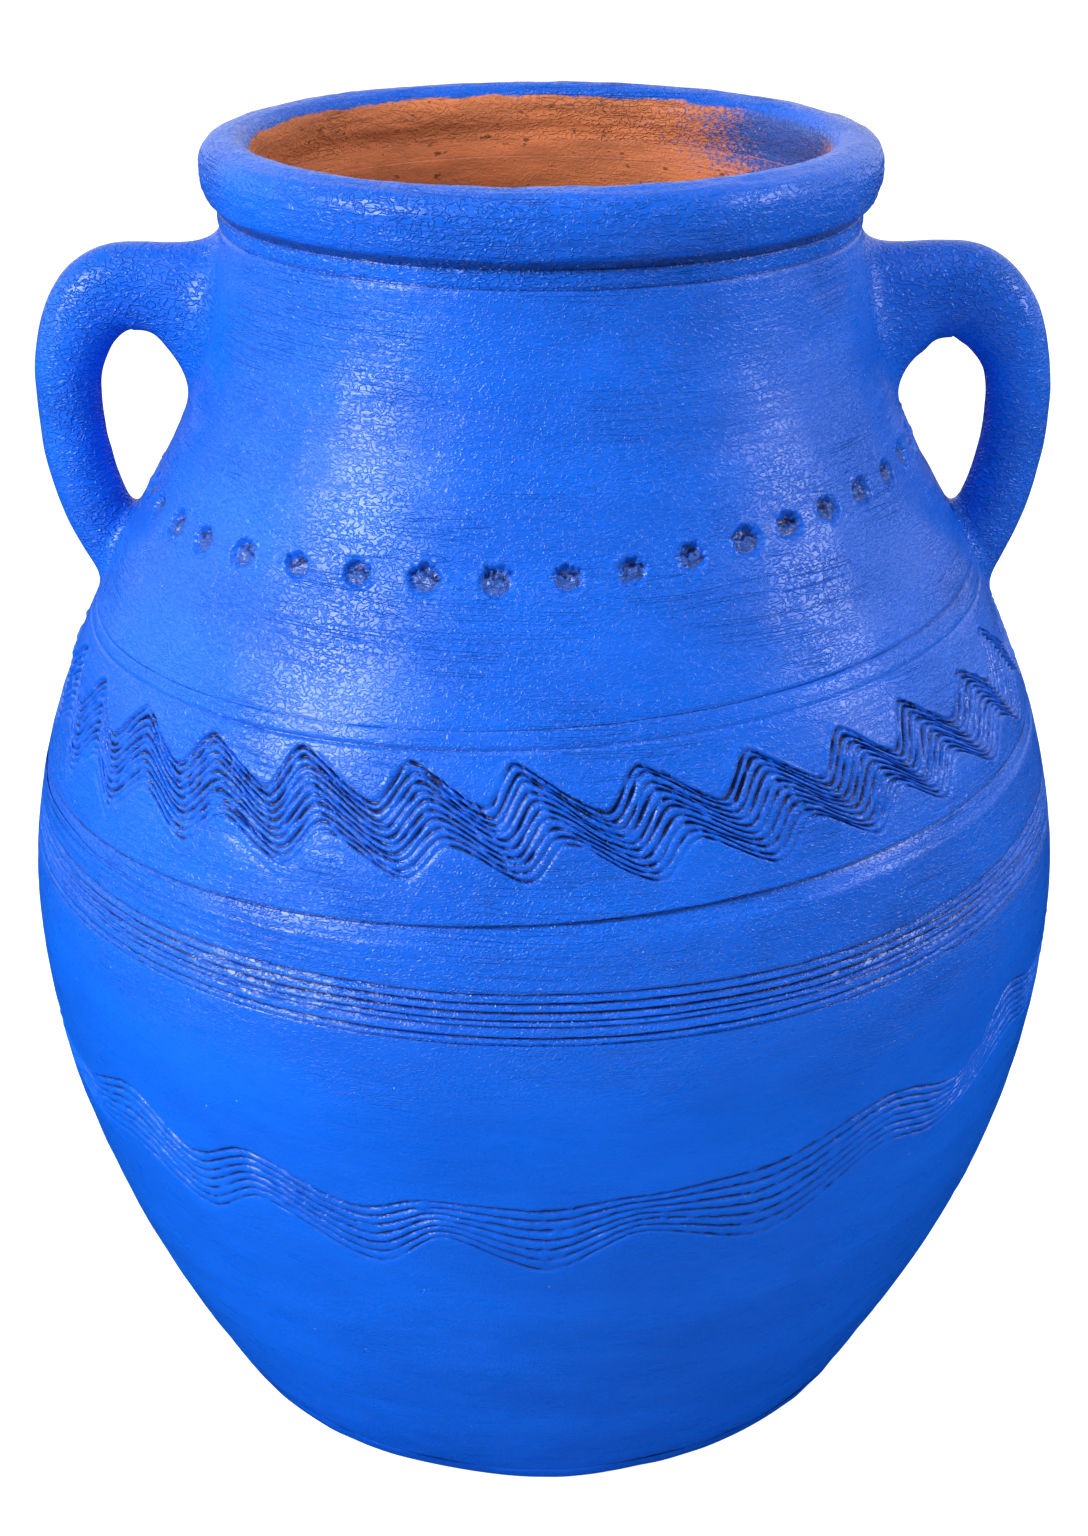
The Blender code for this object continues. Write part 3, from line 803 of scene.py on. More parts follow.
def node(tree, kind, settings=None, **inputs):
    """Add a node, set its properties, and fill its inputs with values or with other outputs.

    An input is named with underscores for spaces, or i and its number.
    """
    made = tree.nodes.new(kind)
    for key, value in (settings or {}).items():
        setattr(made, key, value)
    for key, value in inputs.items():
        socket = made.inputs[int(key[1:]) if key[1:].isdigit() else key.replace("_", " ")]
        if isinstance(value, bpy.types.NodeSocket):
            tree.links.new(value, socket)
        else:
            socket.default_value = value
    return made


def maths(tree, operation, first, second=0.0, third=0.0):
    """Result of one sum on two or three values."""
    settings = {"operation": operation}
    return node(tree, "ShaderNodeMath", settings, i0=first, i1=second, i2=third).outputs[0]


def times(tree, first, second):
    """Product of two values."""
    return maths(tree, "MULTIPLY", first, second)


def off_middle(tree, value):
    """Distance of a noise from its middle, 0.5, which is 0 along thin winding lines."""
    return maths(tree, "ABSOLUTE", maths(tree, "SUBTRACT", value, 0.5))


def remap(tree, value, low, high, to_low=0.0, to_high=1.0):
    """Value carried smoothly from one range to another."""
    made = node(tree, "ShaderNodeMapRange", {"interpolation_type": "SMOOTHSTEP"}, Value=value,
                From_Min=low, From_Max=high, To_Min=to_low, To_Max=to_high)
    return made.outputs[0]


def mix_colour(tree, share, first, second):
    """Mix of two colours by a share."""
    first, second = [
        value if isinstance(value, bpy.types.NodeSocket) else (*value, 1)
        for value in (first, second)]
    mixed = node(tree, "ShaderNodeMix", {"data_type": "RGBA"}, i0=share, i6=first, i7=second)
    return mixed.outputs[2]


def coordinates(tree, stretch):
    """Object coordinates with their height multiplied, so that a pattern lies along the rings."""
    here = node(tree, "ShaderNodeTexCoord").outputs["Object"]
    return node(tree, "ShaderNodeMapping", i3=(1, 1, stretch), Vector=here).outputs[0]


def noise(tree, stretch, scale, **more):
    """Noise on the coordinates so stretched."""
    return node(tree, "ShaderNodeTexNoise", Vector=coordinates(tree, stretch), Scale=scale,
                **more).outputs[0]


def dots(tree, scale, low, high, strength=1.0):
    """Round dots, scattered: strength within the distance low of a random point, 0 past high."""
    distance = node(tree, "ShaderNodeTexVoronoi", Vector=coordinates(tree, 1.0), Scale=scale)
    return remap(tree, distance.outputs["Distance"], low, high, strength, 0.0)


def carried(tree, name):
    """A value that the piece's mesh carries from point to point."""
    return node(tree, "ShaderNodeAttribute", {"attribute_name": name}).outputs["Fac"]


def brush_group():
    """Height of the painted skin: worm-like wrinkles of thick paint, brush lines and pinholes.

    The wrinkles stand along the lines where a noise crosses its middle. Brush lines are a noise
    stretched round the jar, with a few thin scored lines, and the grain is a fine noise.
    """
    group = bpy.data.node_groups.new("Brushed paint relief", "ShaderNodeTree")
    for label, default in (("Wrinkles", 1.0), ("Brush lines", 1.0), ("Grain", 1.0),
                           ("Wrinkle scale", 320.0)):
        socket = group.interface.new_socket(
            label, in_out="INPUT", socket_type="NodeSocketFloat")
        socket.default_value = default
    group.interface.new_socket("Height", in_out="OUTPUT", socket_type="NodeSocketFloat")
    given = node(group, "NodeGroupInput").outputs
    worms = noise(group, 1.7, given["Wrinkle scale"], Detail=0.6, Roughness=0.5, Distortion=0.6)
    crease = remap(group, off_middle(group, worms), 0.0, 0.110, 1.0, 0.0)
    patches = noise(group, 1.7, 14.0, Detail=3.0)
    crease = times(group, crease, remap(group, patches, 0.34, 0.62, 0.45, 1.0))
    wrinkles = times(group, crease, given["Wrinkles"])
    lines = noise(group, 13.0, 32.0, Detail=2.0, Roughness=0.5)
    score = off_middle(group, noise(group, 34.0, 9.0, Detail=1.0))
    scored = times(group, remap(group, score, 0.0, 0.016, 1.0, 0.0),
                   remap(group, patches, 0.50, 0.60))
    lines = maths(group, "SUBTRACT", times(group, lines, 0.7), times(group, scored, 0.95))
    brushed = times(group, lines, given["Brush lines"])
    grain = times(group, noise(group, 1.3, 620.0, Detail=2.0), given["Grain"])
    relief = maths(group, "ADD", wrinkles, maths(group, "ADD", brushed, grain))
    pinholes = times(group, dots(group, 95.0, 0.05, 0.10), 1.2)
    node(group, "NodeGroupOutput", Height=maths(group, "SUBTRACT", relief, pinholes))


def paint_colour(tree, finish):
    """Blue of brushed paint: patchy, painted shade in crevices, shaded bare flecks, pale specks.
    """
    red, green, blue = finish.paint
    deep = tuple(part * 0.90 for part in finish.paint)
    bright = (red, green * 1.10, min(1, blue * 1.06))
    thin_paint, shadowed = (0.038, 0.090, 0.31), (0.004, 0.018, 0.12)
    shaded_bare_clay, pale_dust = (0.03, 0.012, 0.012), (0.30, 0.48, 0.92)
    tone = noise(tree, 3.0, 9.0, Detail=5.0, Roughness=0.6)
    colour = mix_colour(tree, remap(tree, tone, 0.3, 0.7), deep, bright)
    bare = remap(tree, carried(tree, "paint"), 0.9, 0.1, 0.0, 0.75)
    colour = mix_colour(tree, bare, colour, thin_paint)
    # Painted shade darkens the blue in furrows, grooves, pits, seams and under the lip.
    crevice = carried(tree, "crevice")
    colour = mix_colour(tree, remap(tree, crevice, 0.30, 1.0), colour, shadowed)
    # Bare clay shows in flecks where the brush missed the deepest crevices, painted near black as
    # clay in shade.
    fleck = remap(tree, noise(tree, 1.0, 420.0, Detail=1.0), 0.64, 0.70)
    missed = times(tree, fleck, remap(tree, crevice, 0.45, 0.8))
    colour = mix_colour(tree, missed, colour, shaded_bare_clay)
    return mix_colour(tree, dots(tree, 60.0, 0.022, 0.034, 0.7), colour, pale_dust)


def clay_colour(tree, finish):
    """Bare fired clay: light and dark streaks that follow the fingers, and darker pits."""
    dark, light, darkest = [
        tuple(part * share for part in finish.clay) for share in (0.72, 1.25, 0.35)]
    tone = noise(tree, 5.0, 16.0, Detail=6.0, Roughness=0.65)
    colour = mix_colour(tree, remap(tree, tone, 0.3, 0.72), dark, light)
    pit = noise(tree, 2.0, 150.0, Detail=2.0)
    return mix_colour(tree, remap(tree, pit, 0.66, 0.72), colour, darkest)


def paint_cover(tree):
    """1 where paint covers the clay: it ends raggedly in streaks, and drifts further in drops."""
    streak = noise(tree, 5.0, 55.0, Detail=6.0, Roughness=0.7)
    brushed = maths(tree, "SUBTRACT", carried(tree, "paint"), 0.55)
    ragged = maths(tree, "MULTIPLY_ADD", streak, 1.1, brushed)
    drops = noise(tree, 1.6, 420.0, Detail=3.0, Roughness=0.7)
    drift = maths(tree, "MULTIPLY_ADD", streak, 0.5, -1.08)
    drift = maths(tree, "MULTIPLY_ADD", drops, 1.9, drift)
    drift = maths(tree, "ADD", carried(tree, "spray"), drift)
    return maths(tree, "MAXIMUM", remap(tree, ragged, 0.42, 0.58), remap(tree, drift, 0.40, 0.95))


def new_material(name):
    """The node tree and the shader of a new material."""
    material = bpy.data.materials.new(name)
    material.use_nodes = True
    return material.node_tree, material.node_tree.nodes["Principled BSDF"]


def painted_material(finish, name, wrinkles, brush_lines, grain, wrinkle_scale, over_clay):
    """Satin blue paint brushed over clay; over bare clay, it ends raggedly where paint runs out.

    Low on the body the paint is duller and smoother, apart from paint pooled in furrows.
    """
    tree, shader = new_material(name)
    dull_below, full_above = 0.255, 0.325
    relief = {"node_tree": bpy.data.node_groups["Brushed paint relief"]}
    skin = node(tree, "ShaderNodeGroup", relief, Wrinkles=wrinkles, Brush_lines=brush_lines,
                Grain=grain, Wrinkle_scale=wrinkle_scale)
    colour = paint_colour(tree, finish)
    rough = remap(tree, noise(tree, 4.0, 60.0, Detail=3.0), 0.25, 0.75, 0.26, 0.34)
    if over_clay:
        covered = paint_cover(tree)
        colour = mix_colour(tree, covered, clay_colour(tree, finish), colour)
        rough = maths(tree, "MULTIPLY_ADD", maths(tree, "SUBTRACT", 1.0, covered), 0.45, rough)
    tree.links.new(colour, shader.inputs["Base Color"])
    tree.links.new(rough, shader.inputs["Roughness"])
    here = node(tree, "ShaderNodeTexCoord").outputs["Object"]
    tall = node(tree, "ShaderNodeSeparateXYZ", Vector=here).outputs["Z"]
    pooled = remap(tree, carried(tree, "crevice"), 0.0, 0.25, 0.0, 0.60)
    sheen = remap(tree, tall, dull_below, full_above, 0.13, 0.46)
    tree.links.new(maths(tree, "MAXIMUM", sheen, pooled), shader.inputs["Specular IOR Level"])
    strength = remap(tree, tall, dull_below, full_above, 0.5, 1.0)
    bump = node(tree, "ShaderNodeBump", Height=skin.outputs["Height"], Strength=strength,
                Distance=0.0003)
    tree.links.new(bump.outputs[0], shader.inputs["Normal"])


def clay_material(finish, name):
    """Bare fired clay with the fingers' lines and pits."""
    tree, shader = new_material(name)
    tree.links.new(clay_colour(tree, finish), shader.inputs["Base Color"])
    shader.inputs["Roughness"].default_value = 0.85
    grain = noise(tree, 6.0, 120.0, Detail=6.0, Roughness=0.7)
    bump = node(tree, "ShaderNodeBump", Height=grain, Strength=1.0, Distance=0.0006)
    tree.links.new(bump.outputs[0], shader.inputs["Normal"])


def get_materials(context):
    """The jar's materials, made once: paint for body, rim and handles, and bare clay."""
    finish = context.scene.olive_jar.finish
    if "body_paint" not in bpy.data.materials:
        brush_group()
        for paint in PAINTS:
            painted_material(finish, *paint)
        clay_material(finish, "bare_clay")
        clay_material(finish, "foot_clay")
    return bpy.data.materials


# ---- Pieces ----


def even_turns(count):
    """So many turns, evenly spaced round the jar."""
    return np.linspace(0, FULL_TURN, count, endpoint=False)


def level(turns, height):
    """The same height all the way round."""
    return height + 0 * turns


def rows_between(low, high, rings):
    """Heights of evenly spaced rings between two curves, both of which are left out."""
    share = column(np.arange(1, rings) / rings)
    return low + (high - low) * share


def edge_sunk(rise, depths, first):
    """The rise with its first rings, or else its last, drawn in by the depths given."""
    rise[slice(len(depths)) if first else slice(-len(depths), None)] -= depths
    return rise


def jar(context):
    """The jar's skin, its settings and its materials."""
    settings = context.scene.olive_jar
    return JarSkin(settings.body), settings, get_materials(context)


class OLIVEJAR_OT_foot(bpy.types.Operator):
    """Build the slab that the jar stands on"""

    bl_idname = "olive_jar.foot"
    bl_label = "Foot"

    def execute(self, context):
        skin, settings, materials = jar(context)
        turns = even_turns(360)
        edge = settings.body.foot_edge
        foot = RingStack()
        foot.add(self.underside(skin, turns, settings.body.foot_radius), material=2)
        foot.cap(foot.first, 2)
        height = level(turns, column((0.0006, 0.0016, 0.0030, 0.0055, 0.0085, edge - 0.0004)))
        bevel = column((0.0021, 0.0009, 0, 0, 0, 0.0003))
        foot.add(skin.place(turns, height, skin.thrown(turns, height) - bevel))
        foot.add(skin.top_joint(turns, level(turns, edge), LAP)[:3], 0.8)
        foot.add(self.floor_inside(skin, turns, edge + LAP - JOINT_GAP), paint=0.0, material=1)
        foot.cap(foot.last, 1, downwards=False)
        piece = foot.build("foot_slab", [
            materials["body_paint"], materials["bare_clay"], materials["foot_clay"]])
        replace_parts(piece, "base_disc")
        return {"FINISHED"}

    def underside(self, skin, turns, radius):
        """Flat rings from the middle out to the bevel, lifted a little by shallow scuffs."""
        bevel, scuff_run = 0.003, 0.18
        shares = column(np.linspace(0.03, 1, 14))
        flat = skin.place(turns, 0.0) * (shares * (1 - bevel / radius))[..., None]
        scuffs = np.abs(ripple(turns, shares * scuff_run, FOOT_SCUFFS))
        flat[..., 2] = scuffs * (1 - eased((shares - 0.8) / 0.15))
        return flat

    def floor_inside(self, skin, turns, height):
        """Rings of the floor in the hollow, from its edge in, with the fingers' spiral."""
        ridge, ridges_per_metre = 0.0004, 520
        shares = column(np.linspace(0.985, 0.02, 22))
        across = (skin.radius(height) - TONGUE - JOINT_GAP) * shares
        ridges = ridge * np.sin(across * ridges_per_metre + turns) * eased((1 - shares) / 0.1)
        return swayed(np.stack((
            across * np.sin(turns), -across * np.cos(turns), height - np.abs(ridges)), axis=-1))


class OLIVEJAR_OT_lower_wall(bpy.types.Operator):
    """Build the lower wall, with the long shallow wave of the comb"""

    bl_idname = "olive_jar.lower_wall"
    bl_label = "Lower wall"

    def execute(self, context):
        skin, settings, materials = jar(context)
        marks = settings.marks
        start = settings.body.foot_edge + 0.0004
        fine = even_turns(1080)
        turns = fine[::2]
        height, rise, crevice = self.wave(skin, marks, fine)

        wall = RingStack()
        edge = level(turns, column((start, start + 0.0005, start + 0.0015)))
        rows = np.concatenate((edge, rows_between(edge[-1], height[0, ::2], 36)))
        lift = edge_sunk(skin.thrown(turns, rows), column((0.0004, 0.0001)), True)
        wall.add(skin.place(turns, rows, lift))
        wall.add(skin.place(fine, height, rise), crevice)
        seam = band_foot(marks, turns)
        rows = np.concatenate((rows_between(height[-1, ::2], seam - 0.002, 16),
                               seam + column((-0.002, -0.0009, -0.0003, -0.0001))))
        lift = edge_sunk(skin.thrown(turns, rows), column((0.0001, 0.0003, 0.0006)), False)
        shade = 0 * rows
        shade[-2:] = column((0.25, 0.5))
        wall.add(skin.place(turns, rows, lift), shade)
        wall.joint(skin.top_joint(turns, seam, LAP), True)
        wall.add(skin.inside(turns, seam + LAP, start + LAP, 18), paint=0.0, material=1)
        wall.joint(skin.foot_joint(turns, level(turns, start - JOINT_GAP), LAP), False)
        wall.close()
        piece = wall.build("lower_wall_skin", [materials["body_paint"], materials["bare_clay"]])
        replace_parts(piece, "lower_wall")
        return {"FINISHED"}

    def wave(self, skin, marks, turns):
        """Heights, rise and painted shade of the wave: furrows between a top line and a foot.

        A line counts down the comb's teeth, and an even share of the way down goes to each.
        """
        lines = marks.swell_lines
        top_marks = round_the_back(SWELL_TOP_FRONT, step=20, tall=0.014, seed=6)
        foot_marks = round_the_back(SWELL_FOOT_FRONT, step=20, tall=0.017, seed=7)
        top = RoundCurve.through(top_marks, fall_straight=0.3, soften=1.0)
        foot = RoundCurve.through(foot_marks, fall_straight=0.3, soften=1.0)
        down = [-1.0, -0.6, -0.35, -0.17]
        down += [tooth + part for tooth in range(lines - 1) for part in (0, 0.2, 0.4, 0.6, 0.8)]
        down += [lines - 1 + part for part in (0, 0.2, 0.4, 0.7, 1.1)]
        line = level(turns, column(down[::-1]))
        height = top(turns) - (top(turns) - foot(turns)) / (lines - 1) * line
        steep = eased((np.abs(top.slope(turns)) + np.abs(foot.slope(turns))) / 0.16)
        falling = eased(-(top.slope(turns) + foot.slope(turns)) / 0.12)
        dragged = 0.30 + 0.5 * falling + 0.2 * steep
        rise, dark = comb_marks(turns, line, lines, dragged, marks.swell_depth, WAVE_SEED, 0.17)
        patchy = ripple(turns, line * LINE_STEP, WAVE_PATCHES)
        # Painted shade in the furrows: darker where the comb was dragged down, and in random
        # patches.
        crevice = np.clip(dark * (1.0 + 0.35 * falling + patchy), 0, 1)
        return height, rise + skin.thrown(turns, height), crevice


class OLIVEJAR_OT_belly(bpy.types.Operator):
    """Build the belly wall: the grooved band, the step and the zigzag comb work"""

    bl_idname = "olive_jar.belly"
    bl_label = "Belly wall"

    def execute(self, context):
        skin, settings, materials = jar(context)
        painted = [materials["body_paint"], materials["bare_clay"]]
        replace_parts(self.band(skin, settings.marks, painted), "belly_wall")
        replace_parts(self.zigzag(skin, settings.marks, painted), "belly_wall")
        return {"FINISHED"}

    def band(self, skin, marks, materials):
        """The ring that carries the grooved band, up to the corner under the step."""
        turns = even_turns(720)
        height, rise, shade = groove_band(skin, marks, turns)
        rise = rise + skin.thrown(turns, height, 0.8)
        foot = band_foot(marks, turns)
        step = skin.ring(turns, marks.step_height, marks.step_lean)
        band = RingStack()
        band.add(skin.place(turns, height, rise), shade)
        band.joint(skin.top_joint(turns, step - STEP_SEAM, COLLAR_LAP), True)
        band.add(skin.inside(turns, step + COLLAR_LAP, foot + LAP, 8), paint=0.0, material=1)
        band.joint(skin.foot_joint(turns, foot, LAP), False)
        band.close()
        return band.build("grooved_band", materials)

    def zigzag(self, skin, marks, materials):
        """The ring over the step: its edge, a plain shelf, the comb work and the grooves."""
        turn, height, rise, crevice = self.comb_work(skin, marks)
        low, high = turn[0, ::2], turn[-1, ::2]
        step = skin.ring(low, marks.step_height, marks.step_lean)
        seam = skin.ring(high, marks.seam_height, marks.seam_lean)
        ring = RingStack()
        rows = step + column((-0.0005, 0.0, 0.0006, SHELF))
        edge = column((marks.step_depth, 0.0004))
        ring.add(skin.place(low, rows, edge_sunk(skin.thrown(low, rows), edge, True)),
                 column((JOINT_SHADE, 0, 0, 0)))
        shelf = skin.ring(turn[0], marks.step_height, marks.step_lean) + SHELF
        rows = shelf + (height[0] - shelf) * column((0.08, 0.25, 0.45, 0.65, 0.85))
        ring.add(skin.place(turn[0], rows, skin.thrown(turn[0], rows)))
        ring.add(skin.place(turn, height, rise), crevice)
        groove = skin.ring(high, marks.groove_height, marks.groove_lean)
        rows, lift, shade = ring_grooves(high, height[-1, ::2], groove, seam)
        ring.add(skin.place(high, rows, lift + skin.thrown(high, rows)), shade)
        ring.joint(skin.top_joint(high, seam, LAP), True)
        ring.add(skin.inside(high, seam + LAP, step + COLLAR_LAP, 8, low), paint=0.0, material=1)
        ring.joint(skin.foot_joint(low, step - STEP_SEAM, COLLAR_LAP), False)
        ring.close()
        return ring.build("zigzag_ring", materials)

    def comb_work(self, skin, marks):
        """Turns, heights, rise and painted shade of the zigzag, gridded along the comb's strokes.

        A stroke follows the top line round the jar, and a line counts down the comb's teeth,
        each a pitch below the last and dragged a little to the side. Lower lines are rounder.
        """
        lines = marks.zigzag_lines
        steep, closer, dragged, dragged_right, rounded = 0.10, 0.9, 5.2, 2.4, 0.75
        stray_reach, crumb_tall, burr_tall, last_deep = 0.00040, 0.00050, 0.0011, 0.0003
        top_marks = round_the_back(ZIGZAG_FRONT, step=12.1, tall=0.0185, seed=5)
        top = RoundCurve.through(top_marks, fall_straight=0.6, soften=0.45)
        rounder = RoundCurve(top.values[:-1], soften=1.5)
        slopes = top.slope(RoundCurve.turns())
        stroke = spread(1 + closer * eased(np.abs(slopes) / steep), 1200)
        falling = RoundCurve(eased(-slopes / steep), soften=0.8)(stroke)
        pitch = marks.zigzag_tall / (lines - 1)
        drag = np.radians(dragged + dragged_right * np.sin(stroke)) / (lines - 1)
        line = self.comb_lines(skin, marks, stroke, top(stroke), pitch, drag)
        turn = stroke + drag * line
        dull = rounded * eased(line / (lines - 1))
        height = top(stroke) * (1 - dull) + rounder(stroke) * dull - pitch * line
        tooth = np.clip(np.rint(line), 0, lines - 1)
        stray = stray_reach * np.tanh(ripple(stroke, tooth * TOOTH_STEP, ZIGZAG_STRAY))
        height = height + stray * (line > -0.5)

        rise, dark = comb_marks(
            stroke, line, lines, falling, marks.zigzag_depth, ZIGZAG_SEED, 0.24)
        burr = np.clip(0.5 + ripple(stroke, line, ZIGZAG_BURR), 0, 1.6)
        burr = burr_tall * bell(line + 0.5, 0.22) * burr
        last = bell(line - lines - 1.0, 0.25) * eased(-turn_from(turn, -12) / math.radians(12))
        last = last_deep * last * (1 - 0.8 * eased(top.slope(stroke) / 0.08))
        crumbs = np.clip(ripple(stroke, line * LINE_STEP, ZIGZAG_CRUMBS), -1, 1.6) * falling
        crumbs = crumbs * bell(line, 3.2) * (line > -0.4)
        # More painted shade, in random patches, along the top furrows under the burr.
        top_shade = np.clip(0.3 + ripple(stroke, line * LINE_STEP, ZIGZAG_TOP_SHADE), 0, 1)
        top_shade = top_shade * bell(line, 1.6)
        rise = rise + burr - last + crumb_tall * crumbs + skin.thrown(turn, height)
        # Painted shade in the furrows: darker where dragged down and in the top patches, lighter
        # on crumbs.
        crevice = np.clip(dark * (0.92 + 0.21 * falling + 0.35 * top_shade) - 0.90 * crumbs, 0, 1)
        return turn, height, rise, crevice

    def comb_lines(self, skin, marks, stroke, top, pitch, drag):
        """Lines of the grid from the foot up: five to a tooth, and a margin over and under.

        The margins shrink where the comb work comes close to the ring groove or the step.
        """
        lines, edge = marks.zigzag_lines, 0.0018
        step = skin.ring(stroke + drag * (lines - 1), marks.step_height, marks.step_lean)
        below = np.clip(0.27 * ((top - step - SHELF) / pitch - lines + 1), 0.2, 1)
        groove = skin.ring(stroke, marks.groove_height, marks.groove_lean)
        above = np.minimum(1.5, 0.62 * np.maximum(groove - edge - top, 0.0006) / pitch)
        parts = (0, 0.17, 0.36, 0.64, 0.83)
        down = [tooth + part for tooth in range(lines - 1) for part in parts]
        down += [lines - 1 + part for part in (0, 0.17, 0.36, 0.7, 1.2, 1.7, 2.0, 2.3)]
        line = level(stroke, column(down[::-1]))
        line = line - np.maximum(line - lines + 1, 0) * (1 - below)
        return np.concatenate((line, -column((0.2, 0.38, 0.6, 1.0)) * above))


class OLIVEJAR_OT_shoulder(bpy.types.Operator):
    """Build the shoulder wall, with the ring of punched pits"""

    bl_idname = "olive_jar.shoulder"
    bl_label = "Shoulder wall"

    def execute(self, context):
        skin, settings, materials = jar(context)
        marks, neck = settings.marks, settings.body.neck_height
        fine = self.close_at_pits(skin, marks)
        turns = fine[::2]
        seam = skin.ring(turns, marks.seam_height, marks.seam_lean)
        right = right_hand(turns)
        height = pit_ring(skin, marks, fine) + column(np.linspace(-0.0080, 0.0080, 29))

        wall = RingStack()
        rows = np.concatenate((seam + column((0.0002, 0.0006, 0.0012, 0.0020)),
                               rows_between(seam + 0.0020, height[0, ::2], 18)))
        scored = column((0.0009, 0.0004, 0.0001)) * right
        lift = edge_sunk(skin.thrown(turns, rows), scored, True)
        shade = 0 * rows
        shade[:2] = column((0.6, 0.3)) * right
        wall.add(skin.place(turns, rows, lift), shade)
        rise, dark, thin, _ = punched(skin, marks, fine, height)
        wall.add(skin.place(fine, height, rise + skin.thrown(fine, height)), dark, 1 - thin)
        rows = np.concatenate((
            rows_between(height[-1, ::2], level(turns, neck - 0.0022), 40),
            level(turns, neck + column((-0.0022, -0.0014, -0.0008, -0.0003)))))
        lift = edge_sunk(skin.thrown(turns, rows), column((0.0001, 0.0004, 0.0008)), False)
        shade = 0 * rows
        shade[-2:] = column((0.1, 0.4)) * (1 + ripple(turns, level(turns, neck), NECK_SHADE))
        wall.add(skin.place(turns, rows, lift), shade)
        wall.joint(skin.top_joint(turns, level(turns, neck), COLLAR_LAP), True)
        inner = skin.inside(turns, level(turns, neck + COLLAR_LAP), seam + LAP, 22)
        wall.add(inner, paint=0.0, material=1, spray=overspray(turns, inner[..., 2]))
        wall.joint(skin.foot_joint(turns, seam, LAP), False)
        wall.close()
        piece = wall.build("shoulder_skin", [materials["body_paint"], materials["lined_clay"]])
        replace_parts(piece, "shoulder_wall")
        return {"FINISHED"}

    def close_at_pits(self, skin, marks):
        """Turns round the jar, more than twice as close together at each pit."""
        samples = RoundCurve.turns()
        centres = punched(skin, marks, samples, pit_ring(skin, marks, samples))[3]
        away = np.mod(samples[:, None] - centres + math.pi, FULL_TURN) - math.pi
        near = np.abs(away).min(axis=1)
        return spread(1 + 1.3 * eased((math.radians(3.2) - near) / math.radians(1)), 1240)


class OLIVEJAR_OT_collar(bpy.types.Operator):
    """Build the collar coil, with the scored line at its foot"""

    bl_idname = "olive_jar.collar"
    bl_label = "Collar"

    def execute(self, context):
        skin, settings, materials = jar(context)
        turns = even_turns(600)
        neck, seam = settings.body.neck_height, settings.body.rim_seam
        rings = (0.0003, 0.0008, 0.0015, 0.0025, 0.0035, 0.0045, 0.0055, 0.0065, 0.0073, 0.0080)
        rows = level(turns, neck + column(rings))
        proud, shadow, below_ledge = 0.0003, 0.62, 0.0003
        lift = skin.thrown(turns, rows) + proud * eased((rows - neck) / 0.003)
        lift = edge_sunk(lift, column((0.0008, 0.0004, 0.0001)), True)
        shade = shadow * eased((rows - neck - 0.0045) / 0.0035)
        shade[:2] = column((0.4, 0.1))
        coil = RingStack()
        coil.add(skin.place(turns, rows, lift), shade)
        coil.joint(skin.top_joint(turns, level(turns, seam), COLLAR_LAP), True)
        inner = skin.inside(turns, level(turns, seam + COLLAR_LAP - below_ledge),
                            level(turns, neck + COLLAR_LAP), 4)
        coil.add(inner, paint=0.0, material=1, spray=overspray(turns, inner[..., 2]))
        coil.joint(skin.foot_joint(turns, level(turns, neck), COLLAR_LAP), False)
        coil.close()
        piece = coil.build("collar_coil", [materials["rim_paint"], materials["lined_clay"]])
        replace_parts(piece, "collar")
        return {"FINISHED"}


def smooth_outline(points, count):
    """Points spaced evenly along the smooth curve through an outline's corners.

    Each stretch is a cubic whose tangents are half the way from one neighbour to the other.
    """
    points = np.array(points, float)
    runs = np.gradient(points, axis=0)
    share = column(np.linspace(0, 1, 24, endpoint=False))
    spans = [hermite(share, *pair) for pair in zip(points, points[1:], runs, runs[1:])]
    curve = np.concatenate((*spans, points[-1:]))
    along = np.concatenate(([0], np.cumsum(np.linalg.norm(np.diff(curve, axis=0), axis=1))))
    even = np.linspace(0, along[-1], count)
    return np.stack([np.interp(even, along, curve[:, k]) for k in (0, 1)], axis=-1), even


